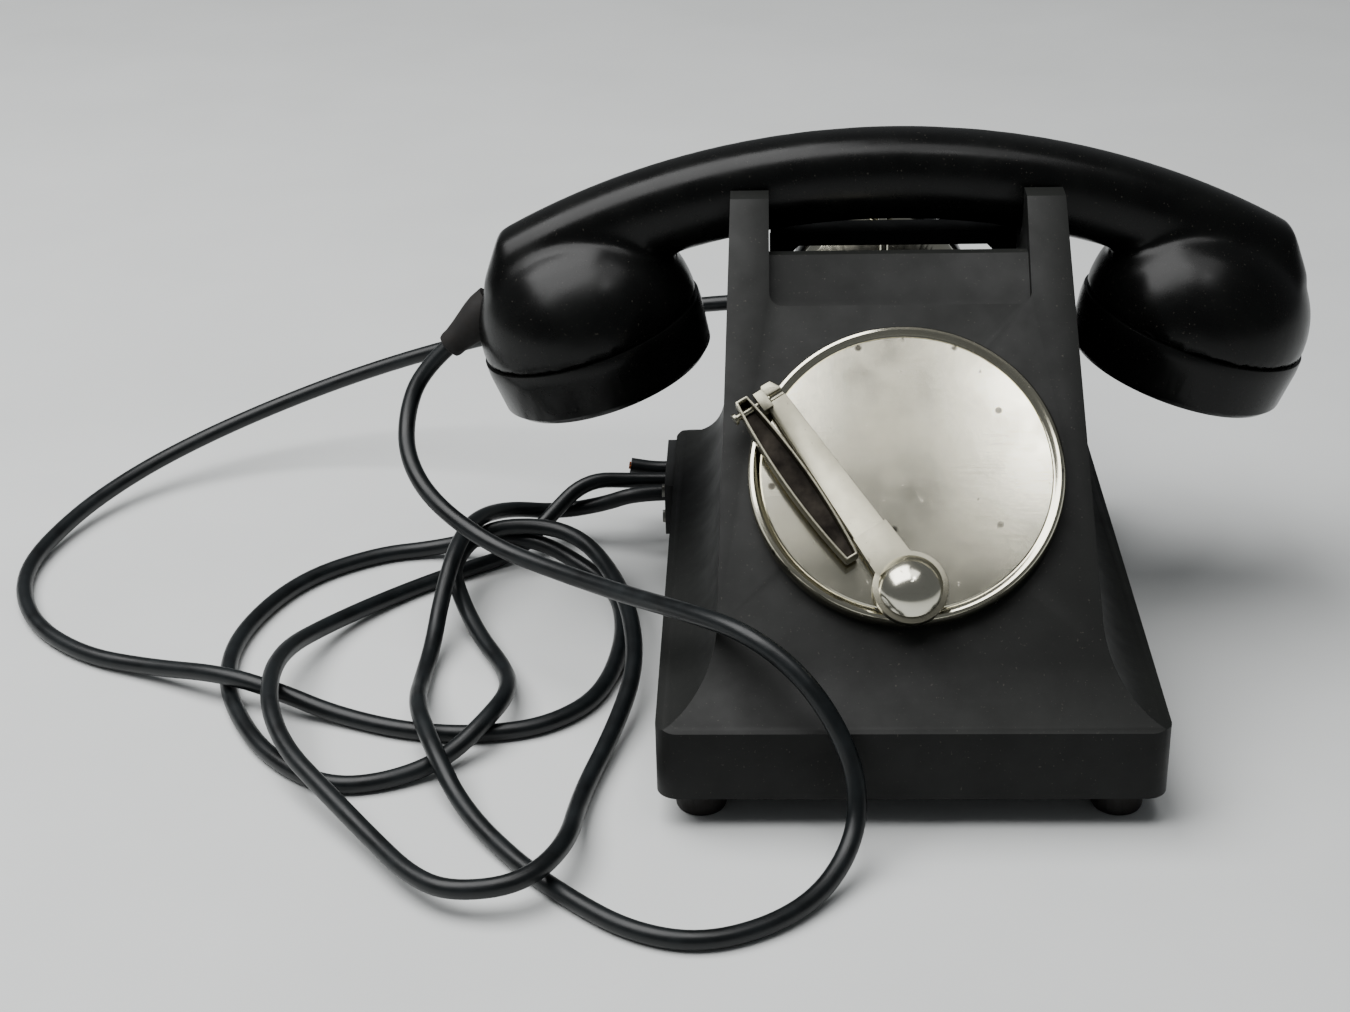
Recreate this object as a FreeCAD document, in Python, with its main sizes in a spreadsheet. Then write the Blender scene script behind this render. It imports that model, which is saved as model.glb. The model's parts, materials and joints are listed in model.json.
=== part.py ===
"""Desk telephone with a folding crank: a bakelite set with handset, crank generator,
bell, second earpiece and cords.

Frame: millimetres, +Z up, the front (crank side) faces -Y, X to the right. The origin is on
the table, under the middle of the set without its cords. Positions along the depth are
measured from the front of the skirt and shifted by half of the set's depth.
"""
import FreeCAD
import Part
import Sketcher

import math
import os

doc = FreeCAD.newDocument("desk_telephone")
sheet = doc.addObject("Spreadsheet::Sheet", "Dims")
Vector = FreeCAD.Vector
Rotation = FreeCAD.Rotation


class Size:
    """A number of the model together with the sheet expression that gives it."""

    def __init__(self, value, text):
        self.value = float(value)
        self.text = text

    def __add__(self, other):
        other = as_size(other)
        return Size(self.value + other.value, f"({self.text} + {other.text})")

    def __radd__(self, other):
        return as_size(other) + self

    def __sub__(self, other):
        other = as_size(other)
        return Size(self.value - other.value, f"({self.text} - {other.text})")

    def __rsub__(self, other):
        return as_size(other) - self

    def __mul__(self, other):
        other = as_size(other)
        return Size(self.value * other.value, f"({self.text} * {other.text})")

    def __rmul__(self, other):
        return as_size(other) * self

    def __truediv__(self, other):
        other = as_size(other)
        return Size(self.value / other.value, f"({self.text} / {other.text})")

    def __neg__(self):
        return Size(-self.value, f"(-1 * {self.text})")


def as_size(number):
    """A plain number as a Size, so that both can be mixed."""
    if isinstance(number, Size):
        return number
    return Size(number, f"{number:.6f}" if number >= 0 else f"(-{-number:.6f})")


def dimension(alias, value, note):
    """Store one driving dimension in the sheet and return it."""
    row = dimension.row
    dimension.row += 1
    sheet.set(f"A{row}", note)
    sheet.set(f"B{row}", str(value))
    sheet.setAlias(f"B{row}", alias)
    return Size(value, f"Dims.{alias}")


dimension.row = 1

# Base and tower of the housing.
set_depth = dimension("set_depth", 230.4, "skirt front to the back of the second earpiece")
skirt_width = dimension("skirt_width", 140, "skirt width")
skirt_depth = dimension("skirt_depth", 195, "skirt depth")
skirt_bottom = dimension("skirt_bottom", 10, "height of the skirt's lower edge")
ledge_top = dimension("ledge_top", 31, "height of the ledge above the skirt")
corner_radius = dimension("corner_radius", 6, "plan radius of the skirt corners")
wall = dimension("wall", 3.2, "moulded wall thickness")
tower_foot = dimension("tower_foot", 53, "half width of the tower where the flare starts")
flare_top = dimension("flare_top", 52, "height where the side flares meet the tower")
flare_radius = dimension("flare_radius", 21.5, "radius of the side and rear flares")
front_flare = dimension("front_flare", 60, "radius of the front flare")
front_flare_top = dimension("front_flare_top", 42, "height where the front flare meets the face")
tower_top = dimension("tower_top", 49.4, "half width of the tower at the prong tops")
prong_top = dimension("prong_top", 140.8, "height of the front prongs")
rear_prong_top = dimension("rear_prong_top", 137, "height of the rear prongs")
saddle_half = dimension("saddle_half", 38, "half distance between the prongs")
saddle_lip = dimension("saddle_lip", 126.6, "height of the saddle panel's upper edge")
recess_depth = dimension("recess_depth", 4, "depth of the saddle panel below the face")
rear_wall_foot = dimension("rear_wall_foot", 178, "depth of the rear wall at the flare")
rear_wall_head = dimension("rear_wall_head", 172, "depth of the rear wall at the deck")

# The sloping face and the disc centre on it.
face_y = dimension("face_y", 56.6, "depth of the disc centre on the face")
face_z = dimension("face_z", 80.2, "height of the disc centre on the face")
FACE_TURN = 43.5
RISE = math.sin(math.radians(FACE_TURN))
RUN = math.cos(math.radians(FACE_TURN))

# Crank.
disc_radius = dimension("disc_radius", 44.5, "crank disc radius")
disc_height = dimension("disc_height", 5.2, "top of the crank disc above the face")
dome_drop = dimension("dome_drop", 35.1, "dome centre below the disc centre")
dome_radius = dimension("dome_radius", 8.8, "radius of the dome nut")
boss_radius = dimension("boss_radius", 10.4, "radius of the arm's boss")
arm_length = dimension("arm_length", 72.3, "dome centre to the arm's tip")
arm_plate = dimension("arm_plate", 2, "arm thickness")
ARM_LEAN = 33.0
handle_length = dimension("handle_length", 56, "crank handle length")
shaft_radius = dimension("shaft_radius", 4, "crank shaft radius")
running = dimension("running", 0.05, "radial clearance of a running fit")

# Handset.
handset_y = dimension("handset_y", 143, "depth of the handle's centre line")
handle_z = dimension("handle_z", 141, "height of the handle's centre at the middle")
handle_bend = dimension("handle_bend", 234, "radius of the handle's centre line")
handle_half_deep = dimension("handle_half_deep", 13, "half depth of the handle")
handle_half_tall = dimension("handle_half_tall", 13.5, "half height of the handle")
cap_x = dimension("cap_x", 94, "centre of each cap joint from the middle")
cap_z = dimension("cap_z", 92.5, "height of each cap joint")
cap_radius = dimension("cap_radius", 35.5, "cap radius")
cap_height = dimension("cap_height", 18, "cap height")
CAP_LEAN = 17.0
HOUSING_SCREWS = [(x, y) for x in (-52, 52) for y in (24, 172)]
FEET = {"front_left": (-58, 13), "front_right": (58, 13),
        "rear_left": (-58, 181), "rear_right": (58, 181)}
CORD_EXITS = [(185.5, 20.5), (176.5, 20.5), (167, 20.5)]
PLATE_SCREWS = (16, 25.5)
PLATE_SCREW_Y = 158.5
FORK_LEG = as_size(4.6)
FORK_LEG_X = 35.4
HOOK_HEIGHT = 90
GEAR_MODULE = 1.0
GEAR_TEETH = 48
PINION_TEETH = 12
GEAR_DISTANCE = 30.25
GEAR_OUT = -8.6
GEAR_WIDTH = 3.0
PRESSURE_ANGLE = math.radians(20)
GONG_X = 24.5
GONG_Y = 98
CLAPPER_Y = 114
INNER_FLOOR = 11.9
BOOT_START = Vector(-127.2, 143, 96.4)
BOOT_END = Vector(-139.6, 141, 85.6)

# Second earpiece and cords.
ear_radius = dimension("ear_radius", 31, "second earpiece radius")
ear_z = dimension("ear_z", 71, "height of the second earpiece")
ear_front = dimension("ear_front", 203, "depth of the second earpiece's shell front")
hook_rod = dimension("hook_rod", 1.45, "radius of the rear hook's rod")
cord_diameter = dimension("cord_diameter", 5.4, "cord diameter")
plate_thick = dimension("plate_thick", 3, "cord plate thickness")


def depth(from_front):
    """Model Y of a place given by its distance behind the front of the skirt."""
    return as_size(from_front) - set_depth / 2


def bind(piece, path, size):
    """Bind one property to the sheet."""
    piece.setExpression(path, as_size(size).text)


def put(piece, x=0, y=0, z=0, rotation=None):
    """Place a piece; its position stays bound to the sheet."""
    piece.Placement = FreeCAD.Placement(
        Vector(as_size(x).value, as_size(y).value, as_size(z).value), rotation or Rotation())
    bind(piece, "Placement.Base.x", x)
    bind(piece, "Placement.Base.y", y)
    bind(piece, "Placement.Base.z", z)
    return piece


ALONG_X = Rotation(Vector(0, 1, 0), 90)
ALONG_Y = Rotation(Vector(1, 0, 0), -90)
ON_FACE = Rotation(Vector(1, 0, 0), FACE_TURN)


def towards(direction):
    """Rotation that turns +Z into a direction."""
    return Rotation(Vector(0, 0, 1), Vector(*direction))


def put_on_face(piece, across=0, up=0, out=0):
    """Place a piece in the frame of the sloping face, with its own +Z out of the face."""
    up, out = as_size(up), as_size(out)
    return put(piece, across, depth(face_y) + up * RUN - out * RISE,
               face_z + up * RISE + out * RUN, ON_FACE)


def cylinder(label, radius, height, x=0, y=0, z=0, rotation=None):
    """A solid cylinder."""
    piece = doc.addObject("Part::Cylinder", label)
    piece.Label = label
    bind(piece, "Radius", radius)
    bind(piece, "Height", height)
    return put(piece, x, y, z, rotation)


def box(label, length, width, height, x=0, y=0, z=0, rotation=None):
    """A block centred on x and y, standing on z. A turned block turns about that point."""
    piece = doc.addObject("Part::Box", label)
    piece.Label = label
    bind(piece, "Length", length)
    bind(piece, "Width", width)
    bind(piece, "Height", height)
    if rotation is None:
        return put(piece, as_size(x) - as_size(length) / 2, as_size(y) - as_size(width) / 2, z)
    offset = rotation.multVec(Vector(-as_size(length).value / 2, -as_size(width).value / 2, 0))
    return put(piece, as_size(x) + offset.x, as_size(y) + offset.y, as_size(z) + offset.z,
               rotation)


def cone(label, low_radius, high_radius, height, x=0, y=0, z=0, rotation=None):
    """A solid truncated cone."""
    piece = doc.addObject("Part::Cone", label)
    piece.Label = label
    bind(piece, "Radius1", low_radius)
    bind(piece, "Radius2", high_radius)
    bind(piece, "Height", height)
    return put(piece, x, y, z, rotation)


def ring(label, radius, section, x=0, y=0, z=0, rotation=None):
    """A torus."""
    piece = doc.addObject("Part::Torus", label)
    piece.Label = label
    bind(piece, "Radius1", radius)
    bind(piece, "Radius2", section)
    return put(piece, x, y, z, rotation)


def joined(label, pieces):
    """Fuse pieces into one solid, or group separate like solids in one node."""
    whole = doc.addObject("Part::MultiFuse", label)
    whole.Label = label
    whole.Shapes = pieces
    whole.Refine = True
    return whole


def cut(label, base, tools):
    """Cut one or more tools from a base."""
    piece = doc.addObject("Part::Cut", label)
    piece.Label = label
    piece.Base = base
    piece.Tool = tools[0] if len(tools) == 1 else joined(label + "_tools", tools)
    piece.Refine = True
    return piece


def common(label, pieces):
    """The volume shared by all pieces."""
    piece = doc.addObject("Part::MultiCommon", label)
    piece.Label = label
    piece.Shapes = pieces
    piece.Refine = True
    return piece


def plane_of(body, role):
    """One of a body's origin planes."""
    return next(item for item in body.Origin.OriginFeatures if item.Role == role)


def arc_between(start, end, radius):
    """Arc from start to end; a positive radius bulges to the left of the way there."""
    chord = end - start
    half = chord.Length / 2
    side = Vector(-chord.y, chord.x, 0).normalize() * (1 if radius > 0 else -1)
    sagitta = abs(radius) - math.sqrt(radius * radius - half * half)
    return Part.Arc(start, start + chord / 2 + side * sagitta, end)


def outline(body, role, corners, arcs=None):
    """Closed sketch through corners given as sheet sizes; arcs maps an edge to its radius."""
    arcs = arcs or {}
    sketch = body.newObject("Sketcher::SketchObject", body.Label + "_outline")
    sketch.AttachmentSupport = [(plane_of(body, role), "")]
    sketch.MapMode = "FlatFace"
    corners = [(as_size(a), as_size(b)) for a, b in corners]
    points = [Vector(a.value, b.value, 0) for a, b in corners]
    ends = []
    for index, start in enumerate(points):
        end = points[(index + 1) % len(points)]
        if index in arcs:
            radius = as_size(arcs[index])
            edge = sketch.addGeometry(arc_between(start, end, radius.value), False)
            forward = (sketch.getPoint(edge, 1) - start).Length < 1e-6
            ends.append((edge, 1, 2) if forward else (edge, 2, 1))
        else:
            edge = sketch.addGeometry(Part.LineSegment(start, end), False)
            ends.append((edge, 1, 2))
    for index, (edge, first, last) in enumerate(ends):
        following = ends[(index + 1) % len(ends)]
        sketch.addConstraint(Sketcher.Constraint("Coincident", edge, last, following[0],
                                                 following[1]))
    for (edge, first, last), (across, up) in zip(ends, corners):
        for kind, axis, size in (("DistanceX", -2, across), ("DistanceY", -1, up)):
            if abs(size.value) < 1e-9:
                sketch.addConstraint(Sketcher.Constraint("PointOnObject", edge, first, axis))
                continue
            number = sketch.addConstraint(
                Sketcher.Constraint(kind, -1, 1, edge, first, size.value))
            sketch.setExpression(f"Constraints[{number}]", size.text)
    for index, radius in arcs.items():
        radius = as_size(radius)
        number = sketch.addConstraint(
            Sketcher.Constraint("Radius", ends[index][0], abs(radius.value)))
        text = radius.text if radius.value > 0 else (-radius).text
        sketch.setExpression(f"Constraints[{number}]", text)
    return sketch


def new_body(label):
    """An empty PartDesign body."""
    body = doc.addObject("PartDesign::Body", label)
    body.Label = label
    return body


def padded(label, role, corners, length, arcs=None, midplane=False):
    """A body padded from a closed outline."""
    body = new_body(label)
    sketch = outline(body, role, corners, arcs)
    pad = body.newObject("PartDesign::Pad", label + "_pad")
    pad.Profile = sketch
    pad.Midplane = midplane
    bind(pad, "Length", length)
    return body


def turned(label, corners, arcs=None):
    """A body of revolution about its own Z axis, from a (radius, height) outline."""
    body = new_body(label)
    sketch = outline(body, "XZ_Plane", corners, arcs)
    revolution = body.newObject("PartDesign::Revolution", label + "_turn")
    revolution.Profile = sketch
    revolution.ReferenceAxis = (sketch, ["V_Axis"])
    revolution.Angle = 360
    return body


# ---------------------------------------------------------------------------- housing

def housing_form(label, inset):
    """Outside of the housing, or its hollow when inset is the wall thickness."""
    bottom = skirt_bottom - inset
    ledge = ledge_top - inset
    face_run = RUN / RISE
    face_shift = inset / RISE
    face_foot = face_y - (face_z - front_flare_top) * face_run + face_shift
    prong_front = face_y + (prong_top - face_z) * face_run + face_shift
    side = padded(label + "_side", "YZ_Plane", [
        (depth(inset), bottom), (depth(inset), ledge), (depth(face_foot), front_flare_top),
        (depth(prong_front), prong_top), (depth(129 - inset), prong_top),
        (depth(157 + inset), rear_prong_top), (depth(166 - inset), rear_prong_top),
        (depth(rear_wall_head - inset), 100), (depth(rear_wall_foot - inset), flare_top),
        (depth(skirt_depth - inset), ledge), (depth(skirt_depth - inset), bottom)],
        skirt_width * 2, {1: -front_flare, 8: -flare_radius}, midplane=True)
    front = padded(label + "_front", "XZ_Plane", [
        (inset - skirt_width / 2, bottom), (inset - skirt_width / 2, ledge),
        (inset - tower_foot, flare_top), (inset - tower_top, prong_top),
        (tower_top - inset, prong_top), (tower_foot - inset, flare_top),
        (skirt_width / 2 - inset, ledge), (skirt_width / 2 - inset, bottom)],
        set_depth * 2, {1: -flare_radius, 5: -flare_radius}, midplane=True)
    half_width = skirt_width / 2 - inset
    near = depth(inset)
    far = depth(skirt_depth - inset)
    radius = corner_radius - inset * 0.5
    plan = padded(label + "_plan", "XY_Plane", [
        (radius - half_width, near), (half_width - radius, near), (half_width, near + radius),
        (half_width, far - radius), (half_width - radius, far), (radius - half_width, far),
        (-half_width, far - radius), (-half_width, near + radius)],
        prong_top + 20, {1: -radius, 3: -radius, 5: -radius, 7: -radius})
    return common(label, [side, front, plan])


def make_housing():
    """One moulded shell: skirt, ledge, tower, saddle panel and four fixed prongs."""
    outside = housing_form("housing_outside", as_size(0))
    deck = padded("saddle_gap", "YZ_Plane", [
        (depth(100), saddle_lip), (depth(114.5), saddle_lip), (depth(114.5), 118),
        (depth(200), 84), (depth(200), 170), (depth(100), 170)],
        saddle_half * 2, midplane=True)
    trough = cylinder("handle_trough", 14.9, 160, -80, depth(handset_y), 136, ALONG_X)
    trough_mouth = box("handle_trough_mouth", 160, 29.8, 30, 0, depth(handset_y), 136)
    round_off = as_size(4)
    recess_floor = padded("panel_recess", "XY_Plane", [
        (round_off - saddle_half, 0), (saddle_half - round_off, 0), (saddle_half, round_off),
        (saddle_half, 80), (-saddle_half, 80), (-saddle_half, round_off)], 20,
        {1: -round_off, 5: -round_off})
    put_on_face(recess_floor, 0, 53.3, -recess_depth)
    hollow = housing_form("housing_hollow_form", wall)
    # The hollow stops under the deck and the trough.
    cap_block = padded("hollow_limit", "YZ_Plane", [
        (depth(0), 0), (depth(0), 60), (depth(97), 114), (depth(106), 114),
        (depth(114), 110), (depth(190), 82), (depth(196), 0)],
        skirt_width * 2, midplane=True)
    hollow = common("housing_hollow", [hollow, cap_block])
    bosses = [cylinder(f"screw_boss_{index}", 4.5, 26, x, depth(y), 12)
              for index, (x, y) in enumerate(HOUSING_SCREWS)]
    bosses = common("bosses_inside", [joined("screw_bosses", bosses), outside])
    pilots = [cylinder(f"boss_pilot_{index}", 1.6, 18, x, depth(y), 11)
              for index, (x, y) in enumerate(HOUSING_SCREWS)]
    shaft_hole = cylinder("shaft_hole", shaft_radius + 0.8, 30)
    put_on_face(shaft_hole, 0, 0, -15)
    leg_holes = [box(f"leg_hole_{side}", FORK_LEG + 0.7, 8.7, 40, side * FORK_LEG_X,
                     depth(handset_y), 90) for side in (-1, 1)]
    hook_hole = cylinder("hook_hole", 1.5, 12, 0, depth(166), HOOK_HEIGHT, ALONG_Y)
    plate_holes = [cylinder(f"plate_pilot_{index}", 1.2, 8, -skirt_width / 2 - 1,
                            depth(PLATE_SCREW_Y), z, ALONG_X)
                   for index, z in enumerate(PLATE_SCREWS)]
    cord_holes = [cylinder(f"cord_pass_{index}", cord_diameter / 2 + 0.4, 10,
                           -skirt_width / 2 - 1, depth(y), z, ALONG_X)
                  for index, (y, z) in enumerate(CORD_EXITS)]
    shell = cut("housing_shell", outside, [hollow, deck, trough, trough_mouth, recess_floor])
    with_bosses = joined("housing_with_bosses", [shell, bosses])
    return cut("housing", with_bosses,
               pilots + [shaft_hole, hook_hole] + leg_holes + plate_holes + cord_holes)


def make_base():
    """Steel base plate, rubber feet and the screws that hold them."""
    plate = box("base_sheet", skirt_width - 2 * wall - 1, skirt_depth - 2 * wall - 1, 1.5,
                0, depth(skirt_depth / 2), 10.4)
    holes = [cylinder(f"plate_hole_{index}", 1.8, 6, x, depth(y), 8)
             for index, (x, y) in enumerate(HOUSING_SCREWS + list(FEET.values()))]
    pieces = [cut("base_plate", plate, holes)]
    for name, (x, y) in FEET.items():
        pad = cone(f"foot_form_{name}", 7, 8, 10.4, x, depth(y), 0)
        bore = cylinder(f"foot_bore_{name}", 1.8, 20, x, depth(y), -1)
        counterbore = cylinder(f"foot_counterbore_{name}", 3.4, 4, x, depth(y), -0.5)
        pieces.append(cut(f"foot_{name}", pad, [bore, counterbore]))
    screws = []
    for index, (x, y) in enumerate(FEET.values()):
        screws.append(cylinder(f"foot_shank_{index}", 1.6, 10, x, depth(y), 3.5))
        screws.append(cylinder(f"foot_screw_head_{index}", 3, 2, x, depth(y), 1.5))
    pieces.append(joined("foot_screws", screws))
    screws = []
    for index, (x, y) in enumerate(HOUSING_SCREWS):
        screws.append(cylinder(f"housing_shank_{index}", 1.5, 16, x, depth(y), 10.4))
        screws.append(cylinder(f"housing_screw_head_{index}", 3, 2, x, depth(y), 8.4))
    pieces.append(joined("housing_screws", screws))
    return pieces


# ---------------------------------------------------------------------------- crank

def arm_frame(piece, out):
    """Place a piece on the disc with its own origin at the dome and +Y along the arm."""
    turn = ON_FACE.multiply(Rotation(Vector(0, 0, 1), ARM_LEAN))
    put_on_face(piece, 0, -dome_drop, out)
    piece.Placement = FreeCAD.Placement(piece.Placement.Base, turn)
    return piece


def make_crank():
    """Disc, arm, dome nut, folding handle and its pin, all turning together."""
    top = disc_height
    disc = turned("crank_disc", [
        (0, top - 1), (disc_radius - 5.5, top - 1), (disc_radius - 3.6, top - 0.2),
        (disc_radius - 1.6, top - 0.6), (disc_radius - 1, top - 2.4), (disc_radius - 1, 1),
        (disc_radius, 1), (disc_radius, top - 1.6), (disc_radius - 0.9, top + 0.4),
        (disc_radius - 3, top + 0.9), (disc_radius - 4.9, top + 0.2), (disc_radius - 6, top),
        (0, top)])
    put_on_face(disc)
    # Arm: round boss, thick root and a thin tapering blade with a hinge lug at its tip.
    arm_top = top + 3.4
    blade = padded("arm_blade", "XY_Plane", [
        (-5.4, 6), (5.4, 6), (3.1, arm_length - 3), (1.5, arm_length), (-1.5, arm_length),
        (-3.1, arm_length - 3)], arm_plate)
    root = padded("arm_root", "XY_Plane", [
        (-6.2, 0), (6.2, 0), (5.4, 20), (-5.4, 20)], 2.9)
    boss = cylinder("arm_boss", boss_radius, 2.9)
    lug = box("arm_lug", 3.2, 6, 4, -3.6, arm_length - 4.5, 0)
    lug_eye = cylinder("lug_eye", 1.05, 20, -10, arm_length - 4.5, 2, ALONG_X)
    dome_bore = cylinder("dome_bore", 2.4, 20, 0, 0, -5)
    arm_solid = joined("arm_solid", [blade, root, boss, lug])
    arm = arm_frame(cut("crank_arm", arm_solid, [lug_eye, dome_bore]), top + 1)
    dome_rise = as_size(4.9)
    ball_radius = (dome_radius * dome_radius + dome_rise * dome_rise) / (2 * dome_rise)
    ball = doc.addObject("Part::Sphere", "dome_ball")
    bind(ball, "Radius", ball_radius)
    put(ball, 0, 0, 3.7 + dome_rise - ball_radius)
    dome = joined("dome_nut", [
        common("dome_crown", [ball, cylinder("dome_limit", dome_radius, 12, 0, 0, 2.9)]),
        cylinder("dome_shank", 2.3, 8, 0, 0, -4.6)])
    arm_frame(dome, top + 1)
    # Handle: a folded channel beside the arm, hinged on the pin at the tip.
    width = as_size(6.4)
    channel = box("channel_solid", width, handle_length, 5.2, -8.9, arm_length - 26, 0.4)
    bind(channel, "Placement.Base.y", arm_length - 1.2 - handle_length)
    slot = box("channel_slot", width - 2, handle_length + 4, 5.2, -8.9, arm_length - 26, -0.7)
    bind(slot, "Placement.Base.y", arm_length - 3.2 - handle_length)
    eye = cylinder("handle_eye", 1.05, 20, -20, arm_length - 4.5, 2, ALONG_X)
    handle = arm_frame(cut("crank_handle", channel, [slot, eye]), top + 1)
    pin = arm_frame(joined("handle_pin", [
        cylinder("pin_shank", 1, 12, -13.4, arm_length - 4.5, 2, ALONG_X),
        cylinder("pin_head", 1.7, 0.8, -13.4, arm_length - 4.5, 2, ALONG_X)]), top + 1)
    return [disc, arm, dome, handle, pin]


def gear_disc(teeth, width, bore, phase):
    """Involute spur gear with shortened teeth and free backlash, centred on the Z axis."""
    pitch = GEAR_MODULE * teeth / 2
    base = pitch * math.cos(PRESSURE_ANGLE)
    tip = pitch + 0.8 * GEAR_MODULE
    root = pitch - 1.15 * GEAR_MODULE
    involute_of = math.tan(PRESSURE_ANGLE) - PRESSURE_ANGLE
    half_tooth = math.pi / (2 * teeth) * 0.86 + involute_of
    flank = []
    for step in range(5):
        radius = max(root, base) + (tip - max(root, base)) * step / 4
        pressure = math.acos(min(1.0, base / radius))
        flank.append((radius, half_tooth - (math.tan(pressure) - pressure)))
    flank.insert(0, (root, flank[0][1] + 0.01))
    points = []
    for tooth in range(teeth):
        middle = phase + 2 * math.pi * tooth / teeth
        for radius, half in flank:
            points.append((radius, middle - half))
        for radius, half in reversed(flank):
            points.append((radius, middle + half))
    corners = [Vector(radius * math.cos(angle), radius * math.sin(angle), 0)
               for radius, angle in points]
    wheel = Part.Face(Part.makePolygon(corners + corners[:1])).extrude(Vector(0, 0, width))
    return wheel.cut(Part.makeCylinder(bore, width, Vector(0, 0, 0)))


def shaped(label, shape):
    """A piece whose shape is made directly, because no feature gives it."""
    piece = doc.addObject("Part::Feature", label)
    piece.Label = label
    piece.Shape = shape
    return piece


def make_generator():
    """Crank shaft, gear train, armature, magnets and frame behind the face."""
    axis_up = -GEAR_DISTANCE
    shaft = joined("crank_shaft", [
        put_on_face(cylinder("shaft_body", shaft_radius, 50), 0, 0, -46),
        put_on_face(cylinder("shaft_flange", 9, 1.6), 0, 0, 2.6)])
    gear = put_on_face(shaped("drive_gear", gear_disc(GEAR_TEETH, GEAR_WIDTH, shaft_radius.value,
                                                      math.pi / 2)), 0, 0, GEAR_OUT)
    pinion = put_on_face(shaped("pinion", gear_disc(PINION_TEETH, GEAR_WIDTH, 2.5,
                                                    math.pi / 2 + math.pi / PINION_TEETH)),
                         0, -GEAR_DISTANCE, GEAR_OUT)
    plates = []
    for name, out in (("front", -13.6), ("rear", -45.6)):
        sheet_metal = box(f"generator_sheet_{name}", 46, 62, 1.6, 0, -GEAR_DISTANCE / 2 + 1, 0)
        shaft_bore = cylinder(f"generator_bore_{name}", shaft_radius + running, 10, 0, 0, -4)
        bush_bore = cylinder(f"generator_seat_{name}", 5, 10, 0, axis_up, -4)
        plate = cut(f"generator_{name}_plate", sheet_metal, [shaft_bore, bush_bore])
        plates.append(put_on_face(plate, 0, 0, out))
    rods = [put_on_face(cylinder(f"spacer_{index}", 2, 30.4), x, up, -44)
            for index, (x, up) in enumerate([(-20, 12), (20, 12), (-20, -42), (20, -42)])]
    spacers = joined("generator_spacers", rods)
    bushes = joined("armature_bushes", [
        put_on_face(cut(f"bush_{name}", cylinder(f"bush_body_{name}", 5, 3),
                        [cylinder(f"bush_hole_{name}", 2.5 + running, 8, 0, 0, -2)]),
                    0, axis_up, out) for name, out in (("front", -13.8), ("rear", -45.8))])
    armature = joined("armature", [
        put_on_face(cylinder("armature_shaft", 2.5, 43), 0, axis_up, -49),
        put_on_face(box("armature_web", 5, 15, 22, 0, 0, 0), -2.5, axis_up - 7.5, -40),
        put_on_face(common("armature_cheeks", [
            cylinder("armature_round", 9.5, 22),
            joined("cheek_blocks", [box("cheek_up", 30, 6, 22, 0, 8, 0),
                                    box("cheek_down", 30, 6, 22, 0, -8, 0)])]),
                    0, axis_up, -40)])
    coil = common("winding_form", [cylinder("winding_round", 9.2, 18),
                                   box("winding_slab", 30, 9.4, 18)])
    winding = put_on_face(cut("armature_winding", coil, [box("winding_core", 5.2, 30, 30, 0, 0, -5)]),
                          0, axis_up, -38)
    magnets = []
    for index, out in enumerate((-42, -33, -24)):
        arch = cut(f"magnet_arch_{index}", cylinder(f"magnet_outer_{index}", 19, 7.6),
                   [cylinder(f"magnet_inner_{index}", 10.6, 20, 0, 0, -5),
                    box(f"magnet_open_{index}", 60, 30, 20, 0, 21.5, -5)])
        magnets.append(put_on_face(arch, 0, axis_up, out + 1))
    magnet = joined("generator_magnets", magnets)
    return [shaft, gear, pinion] + plates + [spacers, bushes, armature, winding, magnet]


# ---------------------------------------------------------------------------- cradle switch

def make_cradle():
    """Moving fork under the handle, its return springs, bracket and contact set."""
    bar = box("fork_bar", 2 * saddle_half - 1, 10, 4.6, 0, depth(handset_y), 119.4)
    legs = [box(f"fork_leg_{side}", FORK_LEG, 8, 64.5, side * FORK_LEG_X, depth(handset_y), 56)
            for side in (-1, 1)]
    corners = [padded(f"fork_corner_{side}", "XZ_Plane", [
        (side * 33.2, 119.6), (side * 28.2, 119.6), (side * 33.2, 114.6)], 8, midplane=True)
        for side in (-1, 1)]
    for corner in corners:
        put(corner, 0, depth(handset_y), 0)
    link = box("fork_link", 75, 4, 5, 0, depth(handset_y), 70)
    fork = joined("cradle_fork", [bar, link] + legs + corners)
    shelf = box("spring_shelf_sheet", 84, 18, 2, 0, depth(handset_y), 52)
    shelf_feet = [box(f"shelf_foot_{side}", 2, 18, 41, side * 41, depth(handset_y), 11.9)
                  for side in (-1, 1)]
    shelf_tabs = [box(f"shelf_tab_{side}", 6, 18, 2, side * 44, depth(handset_y), 11.9)
                  for side in (-1, 1)]
    shelf_holes = [box(f"shelf_hole_{side}", FORK_LEG + 0.8, 8.8, 10, side * FORK_LEG_X,
                       depth(handset_y), 48) for side in (-1, 1)]
    shelf = cut("spring_shelf", joined("shelf_solid", [shelf] + shelf_feet + shelf_tabs),
                shelf_holes)
    helix = doc.addObject("Part::Helix", "spring_helix")
    bind(helix, "Pitch", 2.8)
    bind(helix, "Height", 14)
    bind(helix, "Radius", 4.2)
    put(helix, 0, depth(handset_y), 55)
    wire = doc.addObject("Part::Circle", "spring_wire")
    bind(wire, "Radius", 0.55)
    put(wire, 4.2, depth(handset_y), 55, Rotation(Vector(1, 0, 0), 90))
    spring = doc.addObject("Part::Sweep", "hook_spring")
    spring.Label = "hook_spring"
    spring.Sections = [wire]
    spring.Spine = (helix, ["Edge1"])
    spring.Solid = True
    spring.Frenet = True
    stack = box("contact_block", 12, 16, 14, -16, depth(163), 11.9)
    blades = joined("contact_blades", [
        box(f"blade_{index}", 8, 0.5, 34, -16, depth(157 + 3 * index), 25.9)
        for index in range(4)])
    return [fork, shelf, spring, stack, blades]


# ---------------------------------------------------------------------------- bell

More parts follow.
